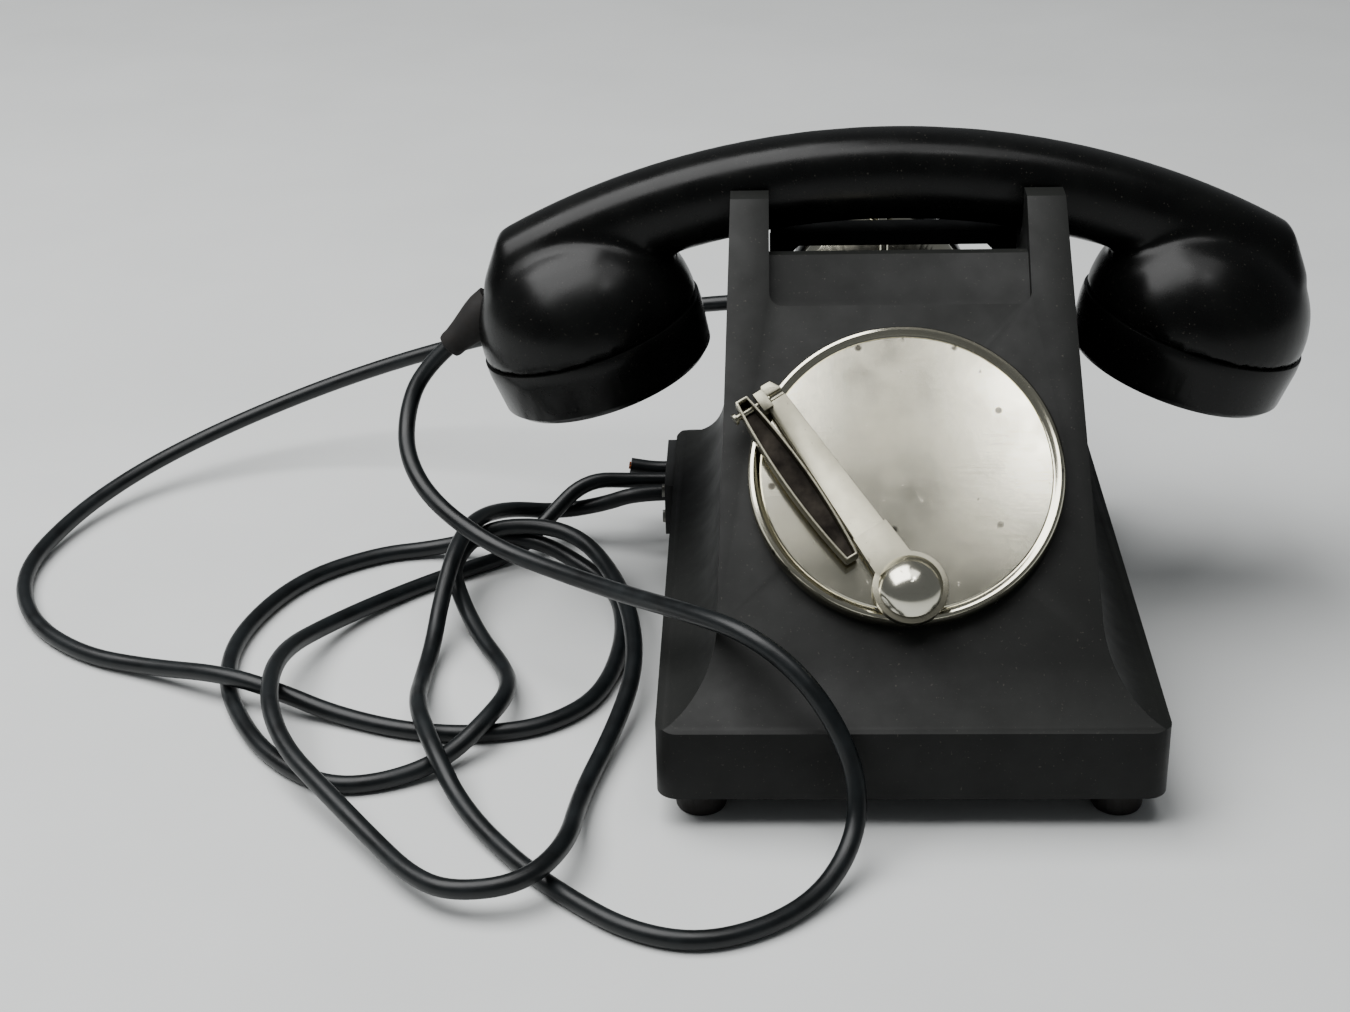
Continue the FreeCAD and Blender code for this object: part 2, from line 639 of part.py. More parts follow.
def make_bell():
    """Two gongs, ringer coils on a yoke, and the clapper that swings between the gongs."""
    pieces = []
    posts = []
    for name, side in (("left", -1), ("right", 1)):
        x = side * GONG_X
        gong = turned(f"gong_{name}", [
            (2.2, 0), (2.2, -1.2), (9, -1.2), (14.6, -5), (16.8, -12), (18, -12),
            (15.8, -4.2), (9.6, 0)])
        pieces.append(put(gong, x, depth(GONG_Y), 34.5))
        posts.append(cylinder(f"gong_post_{name}", 4, 21.4, x, depth(GONG_Y), INNER_FLOOR))
        posts.append(cylinder(f"gong_stud_{name}", 2, 4.6, x, depth(GONG_Y), 33.3))
        posts.append(cylinder(f"gong_nut_{name}", 4, 2, x, depth(GONG_Y), 35.9))
    pieces.append(joined("gong_posts", posts))
    pivot_y = depth(CLAPPER_Y)
    yoke = box("ringer_yoke", 44, 3, 26, 0, depth(CLAPPER_Y + 20), INNER_FLOOR)
    strap = box("ringer_strap", 8, 26, 2, 0, depth(CLAPPER_Y + 9), 22)
    pin = cylinder("ringer_pivot_pin", 1.5, 14, 0, pivot_y, 24)
    cores = [cylinder(f"ringer_core_{side}", 2.5, 16.5, side * 13, depth(CLAPPER_Y + 3.5), 29,
                      ALONG_Y) for side in (-1, 1)]
    frame_solid = joined("ringer_frame", [yoke, strap, pin] + cores)
    pieces.append(frame_solid)
    pieces.append(joined("ringer_coils", [
        cut(f"ringer_coil_{side}",
            cylinder(f"coil_body_{side}", 6.5, 11, side * 13, depth(CLAPPER_Y + 6), 29, ALONG_Y),
            [cylinder(f"coil_bore_{side}", 2.5, 30, side * 13, depth(CLAPPER_Y), 29, ALONG_Y)])
        for side in (-1, 1)]))
    rocker = box("clapper_rocker", 23, 2, 7, 0, pivot_y, 25.5)
    hub = cylinder("clapper_hub", 3.2, 9, 0, pivot_y, 24.6)
    bore = cylinder("clapper_bore", 1.5 + running, 30, 0, pivot_y, 15)
    rod = cylinder("clapper_rod", 0.9, CLAPPER_Y - GONG_Y - 2, 0, depth(GONG_Y), 29, ALONG_Y)
    ball = doc.addObject("Part::Sphere", "clapper_ball")
    bind(ball, "Radius", 3.2)
    put(ball, 0, depth(GONG_Y), 29)
    pieces.append(cut("clapper", joined("clapper_solid", [rocker, hub, rod, ball]), [bore]))
    return pieces


def make_circuit():
    """Induction coil, condenser and the terminal strip on the base plate."""
    coil = joined("induction_coil", [
        cylinder("coil_winding", 8, 32, -52, depth(60), 21, ALONG_Y),
        box("coil_cheek_front", 18, 2, 18, -52, depth(59), 11.9),
        box("coil_cheek_rear", 18, 2, 18, -52, depth(93), 11.9)])
    condenser = box("condenser", 14, 44, 16, 54, depth(95), 11.9)
    strip = box("terminal_strip_solid", 16, 34, 8, -56, depth(132), 11.9)
    holes = [cylinder(f"terminal_hole_{index}", 1.5, 12, -56, depth(120 + 8 * index), 15)
             for index in range(4)]
    block = cut("terminal_block", strip, holes)
    screws = joined("terminal_screws", [
        joined(f"terminal_screw_{index}", [
            cylinder(f"terminal_shank_{index}", 1.5, 4.9, -56, depth(120 + 8 * index), 15),
            cylinder(f"terminal_head_{index}", 2.8, 1.8, -56, depth(120 + 8 * index), 19.9)])
        for index in range(4)])
    return [coil, condenser, block, screws]


# ---------------------------------------------------------------------------- handset

def lean(side):
    """Rotation of a bowl or cap: its own +Z points up and outwards."""
    return Rotation(Vector(0, 1, 0), side * CAP_LEAN)


def place_on_cap(piece, side, rise=0):
    """Place a piece on a cap's axis, rise above the joint plane."""
    angle = math.radians(CAP_LEAN)
    rise = as_size(rise)
    return put(piece, side * (cap_x + rise * math.sin(angle)), depth(handset_y),
               cap_z + rise * math.cos(angle), lean(side))


def make_handset():
    """Bakelite handset body, two screwed caps and the capsules behind them."""
    grip = new_body("handset_grip")
    sketch = grip.newObject("Sketcher::SketchObject", "grip_section")
    sketch.AttachmentSupport = [(plane_of(grip, "YZ_Plane"), "")]
    sketch.MapMode = "FlatFace"
    tall, deep = handle_half_tall.value, handle_half_deep.value
    middle = Vector(0, handle_bend.value, 0)
    sketch.addGeometry(Part.Ellipse(middle + Vector(0, tall, 0), middle + Vector(deep, 0, 0),
                                    middle), False)
    sketch.exposeInternalGeometry(0)
    swing = grip.newObject("PartDesign::Revolution", "grip_swing")
    swing.Profile = sketch
    swing.ReferenceAxis = (sketch, ["H_Axis"])
    swing.Midplane = True
    swing.Angle = 58.6
    put(grip, 0, depth(handset_y), handle_z - handle_bend)
    bowls = []
    for name, side in (("receiver", 1), ("transmitter", -1)):
        bowl = turned(f"{name}_bowl", [
            (0, 0), (cap_radius - 0.6, 0), (cap_radius - 0.4, 5), (cap_radius - 4.5, 16.5),
            (cap_radius - 11.2, 26), (cap_radius - 23, 32), (0, 33.6)],
            {2: -30, 3: -30, 4: -25})
        bowls.append(place_on_cap(bowl, side))
    solid = joined("handset_solid", [grip] + bowls)
    pockets = [place_on_cap(cylinder(f"capsule_pocket_{side}", 28.6, 17), side, -2)
               for side in (-1, 1)]
    wire_way = cylinder("wire_way", 3.2, 20, -136, depth(handset_y), 94.5,
                        towards((1, 0, 0.35)))
    pieces = [cut("handset_body", solid, pockets + [wire_way])]
    for name, side in (("receiver", 1), ("transmitter", -1)):
        cap = turned(f"{name}_cap_form", [
            (0, -cap_height + 3), (cap_radius - 12, -cap_height + 3),
            (cap_radius - 8, -cap_height), (cap_radius - 3.4, -cap_height),
            (cap_radius - 1.2, -cap_height + 2.2), (cap_radius, -4), (cap_radius, 0),
            (cap_radius - 6.6, 0), (cap_radius - 6.6, -cap_height + 7), (0, -cap_height + 7)])
        holes = []
        for index in range(6):
            angle = math.radians(60 * index)
            holes.append(cylinder(f"{name}_hole_{index}", 1.7, 12, 9 * math.cos(angle),
                                  9 * math.sin(angle), -cap_height - 1))
        holes.append(cylinder(f"{name}_hole_middle", 1.7, 12, 0, 0, -cap_height - 1))
        pieces.append(place_on_cap(cut(f"{name}_cap", cap, holes), side))
        capsule = turned(f"{name}_capsule", [
            (0, 0), (22, 0), (24, -1.4), (28.4, -1.4), (28.4, -3.4), (24, -4.4),
            (20, -9.6), (0, -9.6)])
        pieces.append(place_on_cap(capsule, side, 9.4))
    return pieces


def make_boot():
    """Tapered rubber sleeve where the cord leaves the handset."""
    way = BOOT_END - BOOT_START
    sleeve = cone("boot_form", 6, 3.9, way.Length, BOOT_START.x, depth(BOOT_START.y),
                  BOOT_START.z, towards((way.x, way.y, way.z)))
    return cut("cord_boot", sleeve, [doc.getObject("handset_solid")])


# ---------------------------------------------------------------------------- second earpiece

def make_earpiece():
    """Wall hook and the watch-case earpiece that hangs on it."""
    wall_end, bend = as_size(168), as_size(188)
    lean_up = math.radians(15)
    bend_z = ear_z + 31.4
    tilted = Rotation(Vector(1, 0, 0), 15 - 90)
    elbows = [doc.addObject("Part::Sphere", f"hook_elbow_{index}") for index in range(2)]
    for elbow, z in zip(elbows, (HOOK_HEIGHT, bend_z)):
        bind(elbow, "Radius", hook_rod)
        put(elbow, 0, depth(bend), z)
    hook = joined("rear_hook", [
        cylinder("hook_shank", hook_rod, bend - wall_end, 0, depth(wall_end), HOOK_HEIGHT,
                 ALONG_Y),
        cylinder("hook_rise", hook_rod, bend_z - HOOK_HEIGHT, 0, depth(bend), HOOK_HEIGHT),
        cylinder("hook_arm", hook_rod, 29 / math.cos(lean_up), 0, depth(bend), bend_z, tilted)]
        + elbows)
    shell = turned("earpiece_shell", [
        (0, 0), (ear_radius - 9, 0), (ear_radius - 1.2, 5), (ear_radius, 9), (ear_radius, 15),
        (ear_radius - 1, 15), (ear_radius - 1, 9.4), (ear_radius - 2, 5.8),
        (ear_radius - 9.4, 1.2), (0, 1.2)])
    put(shell, 0, depth(ear_front), ear_z, ALONG_Y)
    cap = turned("earpiece_cap_form", [
        (0, 21), (9, 21), (16, 24.4), (ear_radius - 4, 27.4), (ear_radius + 0.8, 24),
        (ear_radius + 0.8, 15), (ear_radius - 4, 15), (ear_radius - 4, 19), (0, 18.6)])
    opening = cylinder("earpiece_opening", 4, 20, 0, 0, 12)
    cap = put(cut("earpiece_cap", cap, [opening]), 0, depth(ear_front), ear_z, ALONG_Y)
    magnet = put(turned("earpiece_magnet", [(0, 1.6), (18, 1.6), (18, 12), (0, 12)]),
                 0, depth(ear_front), ear_z, ALONG_Y)
    diaphragm = put(turned("earpiece_diaphragm", [(0, 15.2), (26.4, 15.2), (26.4, 15.8),
                                                  (0, 15.8)]),
                    0, depth(ear_front), ear_z, ALONG_Y)
    loop = ring("earpiece_ring", 5, 1.2, 0, depth(ear_front + 8), ear_z + ear_radius + 4.6,
                ALONG_Y)
    return [hook, shell, cap, magnet, diaphragm, loop]


# ---------------------------------------------------------------------------- cords

def make_cord_plate():
    """Plate on the left side of the skirt with its three cord holes and two screws."""
    sheet_metal = box("cord_plate_sheet", plate_thick, 36, 18, -skirt_width / 2 - plate_thick / 2,
                      depth(172), 11.5)
    holes = [cylinder(f"cord_plate_hole_{index}", cord_diameter / 2, 10,
                      -skirt_width / 2 - 5, depth(y), z, ALONG_X)
             for index, (y, z) in enumerate(CORD_EXITS)]
    holes += [cylinder(f"cord_plate_screw_hole_{index}", 1.3, 10, -skirt_width / 2 - 5,
                       depth(PLATE_SCREW_Y), z, ALONG_X) for index, z in enumerate(PLATE_SCREWS)]
    plate = cut("cord_plate", sheet_metal, holes)
    screws = joined("cord_plate_screws", [
        joined(f"plate_screw_{index}", [
            cylinder(f"plate_screw_shank_{index}", 1.15, 7, -skirt_width / 2 - plate_thick,
                     depth(PLATE_SCREW_Y), z, ALONG_X),
            cylinder(f"plate_screw_head_{index}", 2.1, 1, -skirt_width / 2 - plate_thick - 1,
                     depth(PLATE_SCREW_Y), z, ALONG_X)])
        for index, z in enumerate(PLATE_SCREWS)])
    return [plate, screws]


# Hand-laid control points (x, depth from the front of the skirt, z) of the two free cords.
HANDSET_CORD_ROUTE = [
    (-139.65, 140.99, 85.56), (-148.6, 139.6, 77.8), (-153, 131.5, 67), (-152, 119, 57.5), (-143, 106, 48.5),
    (-124, 93, 40), (-102, 76, 40), (-79, 52, 45), (-61, 28, 53), (-45, 12, 56),
    (-31, 3, 49), (-21, -4, 37), (-15, -9, 22), (-16, -18, 9.5), (-25, -34, 3.5),
    (-39, -47, 2.7), (-57, -54, 2.7), (-75, -49, 2.7), (-92, -35, 2.7), (-109, -17, 2.7),
    (-125, 5, 4.5), (-135, 25, 11), (-143, 48, 11), (-145, 74, 3.5), (-144, 92, 5),
    (-143, 108, 12), (-140, 128, 21.2), (-136, 148, 21.2), (-127, 166, 15.5), (-111, 175, 9.4),
    (-95, 171.5, 14), (-83, 167, 20.5), (-70, 167, 20.5),
]
EARPIECE_CORD_ROUTE = [
    (-70, 176.5, 20.5), (-84, 176.5, 20.5), (-101, 174.5, 22), (-113.5, 165.8, 11.8), (-124, 157, 2.7),
    (-143, 144, 2.7), (-162, 128, 2.7), (-179, 106, 5), (-189, 77, 12), (-187, 47, 15),
    (-178, 24, 12), (-163, 5, 10), (-147, -14, 7), (-134, -31, 7), (-122, -39.5, 8),
    (-103.5, -38, 9.5), (-93, -21, 9.8), (-92, 11, 3.5), (-84, 44, 5), (-79, 71, 9),
    (-82, 102, 11), (-90, 128, 12), (-100, 146, 14), (-114, 154.5, 15), (-134, 152, 15),
    (-143, 134, 11.5), (-138, 117, 8), (-130, 99, 4), (-120, 80, 3.5), (-116.5, 60, 8),
    (-121, 43, 9.3), (-132, 29, 4.3), (-147, 20, 2.7), (-163, 17, 2.7), (-178, 26, 2.7),
    (-193, 44, 2.7), (-207, 75, 2.7), (-208, 106, 2.7), (-195, 139, 2.7), (-172, 157, 2.7),
    (-152, 161, 2.9), (-133, 157, 9.5), (-116, 154, 9.5), (-100, 147, 3.2), (-88, 130, 2.7),
    (-84, 101, 2.7), (-89, 66, 2.7), (-104, 49, 2.7), (-124, 44, 2.7), (-146, 46, 2.7),
    (-169, 55, 3), (-187, 61.5, 7.4), (-205, 68, 9.5), (-231, 81, 4), (-256, 91, 2.7),
    (-279, 113, 2.7), (-291, 146, 3), (-283, 182, 5), (-267, 208, 9), (-245, 226, 15),
    (-217, 239, 23), (-187, 243, 33), (-155, 240, 44), (-122, 234, 54), (-90, 226, 62),
    (-68, 218.5, 67.5), (-49, 215, 70.5), (-31.15, 215, 71),
]
STUB_ROUTE = [(-70, 185.5, 20.5), (-78, 185.5, 20.5), (-86, 185.3, 22)]


def round_route(points):
    """Straight runs joined by tangent arcs as large as the runs allow, and the radii."""
    edges, radii = [], []
    start = points[0]
    for before, corner, after in zip(points, points[1:], points[2:]):
        back, ahead = before - corner, after - corner
        turn = math.pi - back.getAngle(ahead)
        reach = 0.45 * min(back.Length, ahead.Length)
        radii.append(reach / math.tan(turn / 2))
        enter = corner + back / back.Length * reach
        leave = corner + ahead / ahead.Length * reach
        inward = (back.normalize() + ahead.normalize()).normalize()
        middle = corner + inward * radii[-1] * (1 / math.cos(turn / 2) - 1)
        edges.append(Part.LineSegment(start, enter).toShape())
        edges.append(Part.Arc(enter, middle, leave).toShape())
        start = leave
    edges.append(Part.LineSegment(start, points[-1]).toShape())
    return Part.Wire(edges), radii


def cord_tube(label, route, diameter):
    """A round cord along a hand-laid route."""
    half_depth = set_depth.value / 2
    points = [Vector(x, y - half_depth, z) for x, y, z in route]
    path, radii = round_route(points)
    along = points[1] - points[0]
    section = Part.Wire(Part.Circle(points[0], along, diameter / 2).toShape())
    tube = path.makePipeShell([section], True, False)
    expected = math.pi * diameter * diameter / 4 * path.Length
    print(f"{label}: length {path.Length:.0f}, least radius {min(radii):.1f},"
          f" volume ratio {tube.Volume / expected:.4f}, lowest {tube.optimalBoundingBox(False, False).ZMin:.2f}")
    return shaped(label, tube)


def make_cords():
    """Both free cords and the cut stub of the line cord with its two cores."""
    handset_cord = cord_tube("handset_cord", HANDSET_CORD_ROUTE, cord_diameter.value)
    earpiece_cord = cord_tube("earpiece_cord", EARPIECE_CORD_ROUTE, cord_diameter.value)
    sheath = cord_tube("stub_form", STUB_ROUTE, cord_diameter.value)
    half_depth = set_depth.value / 2
    before, tip = [Vector(x, y - half_depth, z) for x, y, z in STUB_ROUTE[-2:]]
    way = (tip - before).normalize()
    turn = towards((way.x, way.y, way.z))
    sunk = tip - way * 4
    cores = joined("stub_cores", [
        cylinder(f"stub_core_{side}", 0.75, 4.6, sunk.x, sunk.y + side * 1.15, sunk.z, turn)
        for side in (-1, 1)])
    sockets = [cylinder(f"stub_socket_{side}", 0.75, 4.6, sunk.x, sunk.y + side * 1.15, sunk.z,
                        turn) for side in (-1, 1)]
    return [handset_cord, earpiece_cord, cut("line_cord_stub", sheath, sockets), cores]


def main():
    """Build every piece, check it and write the parts."""
    doc.recompute()
    pieces = [make_housing()] + make_base()
    pieces += make_crank() + make_generator() + make_cradle() + make_bell() + make_circuit()
    pieces += make_handset() + [make_boot()] + make_earpiece() + make_cord_plate()
    pieces += make_cords()
    doc.recompute()
    for item in doc.Objects:
        if "Invalid" in item.State or "Error" in item.State:
            raise RuntimeError(f"{item.Label} failed: {item.State}")
    for piece in pieces:
        if piece.Shape.isNull() or not piece.Shape.isValid():
            raise RuntimeError(f"{piece.Label} has no valid shape")
    os.makedirs("parts", exist_ok=True)
    for piece in pieces:
        piece.Shape.exportStep(os.path.join("parts", piece.Label + ".step"))
        print(piece.Label, len(piece.Shape.Solids), "solids")


if __name__ == "__main__":
    main()
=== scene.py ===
"""Desk telephone in black bakelite with a folding crank, a second earpiece and its cords."""

import json
import math

import bmesh
import bpy
from bpy.props import FloatProperty, FloatVectorProperty, IntProperty, PointerProperty
from mathutils import Matrix, Vector

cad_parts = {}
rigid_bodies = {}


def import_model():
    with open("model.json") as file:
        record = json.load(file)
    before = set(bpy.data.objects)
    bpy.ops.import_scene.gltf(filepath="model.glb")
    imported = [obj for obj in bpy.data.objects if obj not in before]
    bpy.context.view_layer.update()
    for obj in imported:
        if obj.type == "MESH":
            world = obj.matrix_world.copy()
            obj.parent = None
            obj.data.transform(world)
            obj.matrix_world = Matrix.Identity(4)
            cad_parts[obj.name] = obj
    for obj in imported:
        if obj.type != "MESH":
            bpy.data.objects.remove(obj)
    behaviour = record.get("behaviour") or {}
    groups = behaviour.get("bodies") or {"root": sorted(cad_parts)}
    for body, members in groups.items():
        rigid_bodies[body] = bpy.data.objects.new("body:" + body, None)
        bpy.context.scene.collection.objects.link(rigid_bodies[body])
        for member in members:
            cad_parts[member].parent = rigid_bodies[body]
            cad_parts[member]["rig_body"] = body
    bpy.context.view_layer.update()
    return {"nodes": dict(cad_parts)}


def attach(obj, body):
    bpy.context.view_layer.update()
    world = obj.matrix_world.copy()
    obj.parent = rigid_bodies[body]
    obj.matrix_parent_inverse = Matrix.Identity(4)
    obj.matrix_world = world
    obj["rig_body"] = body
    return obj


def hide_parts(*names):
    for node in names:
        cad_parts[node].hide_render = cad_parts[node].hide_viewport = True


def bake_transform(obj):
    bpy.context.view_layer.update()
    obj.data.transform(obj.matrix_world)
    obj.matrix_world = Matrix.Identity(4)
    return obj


bl_info = {
    "name": "Crank Desk Telephone",
    "version": (1, 0, 0),
    "blender": (4, 5, 0),
    "location": "3D View > Sidebar > Telephone",
    "description": "Builds a bakelite crank telephone with its handset, bell works and cords",
    "category": "Add Mesh",
}

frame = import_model()
NODES = frame["nodes"]

MM = 0.001
HALF_DEPTH = 115.2

# Control points in mm: across, depth behind the front of the skirt, height.
HANDSET_CORD = [
    (-139.65, 140.99, 85.56), (-148.6, 139.6, 77.8), (-153, 131.5, 67), (-152, 119, 57.5),
    (-143, 106, 48.5), (-124, 93, 40), (-102, 76, 40), (-79, 52, 45), (-61, 28, 53),
    (-45, 12, 56), (-31, 3, 49), (-21, -4, 37), (-15, -9, 22), (-16, -18, 9.5),
    (-25, -34, 3.5), (-39, -47, 2.7), (-57, -54, 2.7), (-75, -49, 2.7), (-92, -35, 2.7),
    (-109, -17, 2.7), (-125, 5, 4.5), (-135, 25, 11), (-143, 48, 11), (-145, 74, 3.5),
    (-144, 92, 5), (-143, 108, 12), (-140, 128, 21.2), (-136, 148, 21.2), (-127, 166, 15.5),
    (-111, 175, 9.4), (-95, 171.5, 14), (-83, 167, 20.5), (-70, 167, 20.5),
]
EARPIECE_CORD = [
    (-70, 176.5, 20.5), (-84, 176.5, 20.5), (-101, 174.5, 22), (-113.5, 165.8, 11.8),
    (-124, 157, 2.7), (-143, 144, 2.7), (-162, 128, 2.7), (-179, 106, 5), (-189, 77, 12),
    (-187, 47, 15), (-178, 24, 12), (-163, 5, 10), (-147, -14, 7), (-134, -31, 7),
    (-122, -39.5, 8), (-103.5, -38, 9.5), (-93, -21, 9.8), (-92, 11, 3.5), (-84, 44, 5),
    (-79, 71, 9), (-82, 102, 11), (-90, 128, 12), (-100, 146, 14), (-114, 154.5, 15),
    (-134, 152, 15), (-143, 134, 11.5), (-138, 117, 8), (-130, 99, 4), (-120, 80, 3.5),
    (-116.5, 60, 8), (-121, 43, 9.3), (-132, 29, 4.3), (-147, 20, 2.7), (-163, 17, 2.7),
    (-178, 26, 2.7), (-193, 44, 2.7), (-207, 75, 2.7), (-208, 106, 2.7), (-195, 139, 2.7),
    (-172, 157, 2.7), (-152, 161, 2.9), (-133, 157, 9.5), (-116, 154, 9.5), (-100, 147, 3.2),
    (-88, 130, 2.7), (-84, 101, 2.7), (-89, 66, 2.7), (-104, 49, 2.7), (-124, 44, 2.7),
    (-146, 46, 2.7), (-169, 55, 3), (-187, 61.5, 7.4), (-205, 68, 9.5), (-231, 81, 4),
    (-256, 91, 2.7), (-279, 113, 2.7), (-291, 146, 3), (-283, 182, 5), (-267, 208, 9),
    (-245, 226, 15), (-217, 239, 23), (-187, 243, 33), (-155, 240, 44), (-122, 234, 54),
    (-90, 226, 62), (-68, 218.5, 67.5), (-49, 215, 70.5), (-31.15, 215, 71),
]


# ------------------------------------------------------------------------------- settings

class TelephoneSettings(bpy.types.PropertyGroup):
    """Sizes and colours that a user may change before building."""

    cord_diameter: FloatProperty(
        name="Cord diameter", description="Outer diameter of the cords",
        default=0.0054, unit="LENGTH")
    case_edge: FloatProperty(
        name="Case edge", description="Rounding of the moulded case's edges",
        default=0.0011, unit="LENGTH")
    metal_edge: FloatProperty(
        name="Metal edge", description="Rounding of the pressed and turned metal edges",
        default=0.0003, unit="LENGTH")
    handset_grain: FloatProperty(
        name="Handset resolution", description="Spacing of the handset's surface mesh",
        default=0.0014, unit="LENGTH")
    bakelite: FloatVectorProperty(
        name="Bakelite", description="Colour of the moulded case", subtype="COLOR",
        default=(0.0040, 0.0044, 0.0040))
    handset_smoothing: IntProperty(
        name="Handset smoothing", description="Passes that melt the bowls into the grip",
        default=9, min=0, max=40)


# ---------------------------------------------------------------------- material building

def linear(code):
    """Linear RGBA of an sRGB hex code."""
    channels = [int(code[i:i + 2], 16) / 255 for i in (0, 2, 4)]
    return tuple(c / 12.92 if c <= 0.04045 else ((c + 0.055) / 1.055) ** 2.4
                 for c in channels) + (1.0,)


def new_surface(name):
    """An empty material with one shader joined to its output."""
    material = bpy.data.materials.new(name)
    material.use_nodes = True
    tree = material.node_tree
    tree.nodes.clear()
    shader = add_node(tree, "ShaderNodeBsdfPrincipled")
    add_node(tree, "ShaderNodeOutputMaterial", {"Surface": shader.outputs["BSDF"]})
    return material, tree, shader


def add_node(tree, kind, sockets=None, **settings):
    """Add a node, set its attributes, and fill or link its input sockets."""
    node = tree.nodes.new(kind)
    for key, value in settings.items():
        setattr(node, key, value)
    for key, value in (sockets or {}).items():
        if isinstance(value, bpy.types.NodeSocket):
            tree.links.new(value, node.inputs[key])
        else:
            node.inputs[key].default_value = value
    return node


def grain(tree, scale, detail=4.0, rough=0.55, stretch=(1, 1, 1), turn=(0, 0, 0)):
    """Noise on the piece's own coordinates; scale is in waves a metre."""
    place = add_node(tree, "ShaderNodeTexCoord")
    mapped = add_node(tree, "ShaderNodeMapping",
                      {"Vector": place.outputs["Object"], "Scale": stretch, "Rotation": turn})
    noise = add_node(tree, "ShaderNodeTexNoise", {
        "Vector": mapped.outputs["Vector"], "Scale": scale, "Detail": detail,
        "Roughness": rough})
    return noise.outputs["Fac"]


def spread(tree, value, low, high, start=0.3, end=0.7):
    """Map a noise value between two numbers."""
    node = add_node(tree, "ShaderNodeMapRange", {
        "Value": value, "From Min": start, "From Max": end, "To Min": low, "To Max": high})
    return node.outputs["Result"]


def blend_colour(tree, share, first, second):
    """Mix two colours by a share."""
    node = add_node(tree, "ShaderNodeMix", data_type="RGBA")
    for key, value in (("Factor_Float", share), ("A_Color", first), ("B_Color", second)):
        socket = next(s for s in node.inputs if s.identifier == key)
        if isinstance(value, bpy.types.NodeSocket):
            tree.links.new(value, socket)
        else:
            socket.default_value = value
    return next(s for s in node.outputs if s.identifier == "Result_Color")


def times(tree, first, second, operation="MULTIPLY"):
    """Arithmetic on two values."""
    node = add_node(tree, "ShaderNodeMath", {0: first, 1: second}, operation=operation)
    return node.outputs[0]


def relief(tree, height, depth_mm, strength=1.0):
    """Bump from a height pattern, in real depth."""
    node = add_node(tree, "ShaderNodeBump", {
        "Height": height, "Strength": strength, "Distance": depth_mm * MM})
    return node.outputs["Normal"]


def facing_up(tree):
    """1 where the surface faces up, 0 where it is upright or faces down."""
    place = add_node(tree, "ShaderNodeNewGeometry")
    split = add_node(tree, "ShaderNodeSeparateXYZ", {"Vector": place.outputs["Normal"]})
    return spread(tree, split.outputs["Z"], 0.0, 1.0, 0.25, 0.95)


def moulded_bakelite(name, base, dust, gloss_low, gloss_high, dust_share, pit_depth):
    """Phenolic resin pressed in a polished die: mottled near-black, dulled by age and dust."""
    material, tree, shader = new_surface(name)
    mottle = grain(tree, 70, 5, 0.6)
    patches = grain(tree, 16, 3, 0.5)
    specks = spread(tree, grain(tree, 1300, 2, 0.5), 0.0, 1.0, 0.69, 0.75)
    settled = times(tree, spread(tree, patches, 0.25, 1.0), facing_up(tree))
    veil = times(tree, settled, dust_share)
    body = blend_colour(tree, spread(tree, mottle, 0.0, 1.0), base, linear("080908"))
    dusty = blend_colour(tree, veil, body, linear(dust))
    speckled = blend_colour(tree, times(tree, specks, 0.12), dusty, linear("8a857a"))
    tree.links.new(speckled, shader.inputs["Base Color"])
    gloss = spread(tree, mottle, gloss_low, gloss_high)
    worn = times(tree, gloss, times(tree, veil, 0.35), "ADD")
    tree.links.new(worn, shader.inputs["Roughness"])
    shader.inputs["IOR"].default_value = 1.5
    shader.inputs["Specular IOR Level"].default_value = 0.2
    tree.links.new(relief(tree, grain(tree, 450, 6, 0.65), pit_depth, 0.5),
                   shader.inputs["Normal"])
    return material


def nickel_plate(name, base, stain, rough_low, rough_high, scratch_turn=(0, 0, 0),
                 spot_share=0.0):
    """Nickel plate on brass or steel, buffed: hairlines, pits and, where worn, dark spots."""
    material, tree, shader = new_surface(name)
    cloud = grain(tree, 45, 6, 0.62)
    hairs = grain(tree, 60, 8, 0.75, (1, 26, 26), scratch_turn)
    cross = grain(tree, 45, 8, 0.75, (30, 1, 12), scratch_turn)
    pits = spread(tree, grain(tree, 330, 3, 0.6), 0.0, 1.0, 0.68, 0.75)
    tint = blend_colour(tree, spread(tree, cloud, 0.0, 0.55, 0.45, 0.75), linear(base),
                        linear(stain))
    pitted = blend_colour(tree, times(tree, pits, 0.6), tint, linear("4b443a"))
    scored = blend_colour(tree, times(tree, spread(tree, hairs, 0.0, 1.0, 0.58, 0.66), 0.35),
                          pitted, linear("6d665a"))
    # Corrosion spots 1 to 2 mm across where the plate has worn through.
    place = add_node(tree, "ShaderNodeTexCoord")
    cells = add_node(tree, "ShaderNodeTexVoronoi", {
        "Vector": place.outputs["Object"], "Scale": 120.0})
    spots = times(tree, spread(tree, cells.outputs["Distance"], 1.0, 0.0, 0.09, 0.15),
                  spread(tree, grain(tree, 28, 2, 0.5), 0.0, 1.0, 0.45, 0.50))
    spotted = blend_colour(tree, times(tree, spots, spot_share), scored, linear("2c2823"))
    tree.links.new(spotted, shader.inputs["Base Color"])
    shader.inputs["Metallic"].default_value = 1.0
    waves = grain(tree, 22, 2, 0.5)
    haze = times(tree, spread(tree, cloud, rough_low, rough_high),
                 times(tree, pits, 0.2), "ADD")
    tree.links.new(haze, shader.inputs["Roughness"])
    scratches = times(tree, hairs, cross, "ADD")
    buffed = times(tree, scratches, times(tree, waves, 14.0), "ADD")
    tree.links.new(relief(tree, buffed, 0.012, 0.35), shader.inputs["Normal"])
    return material


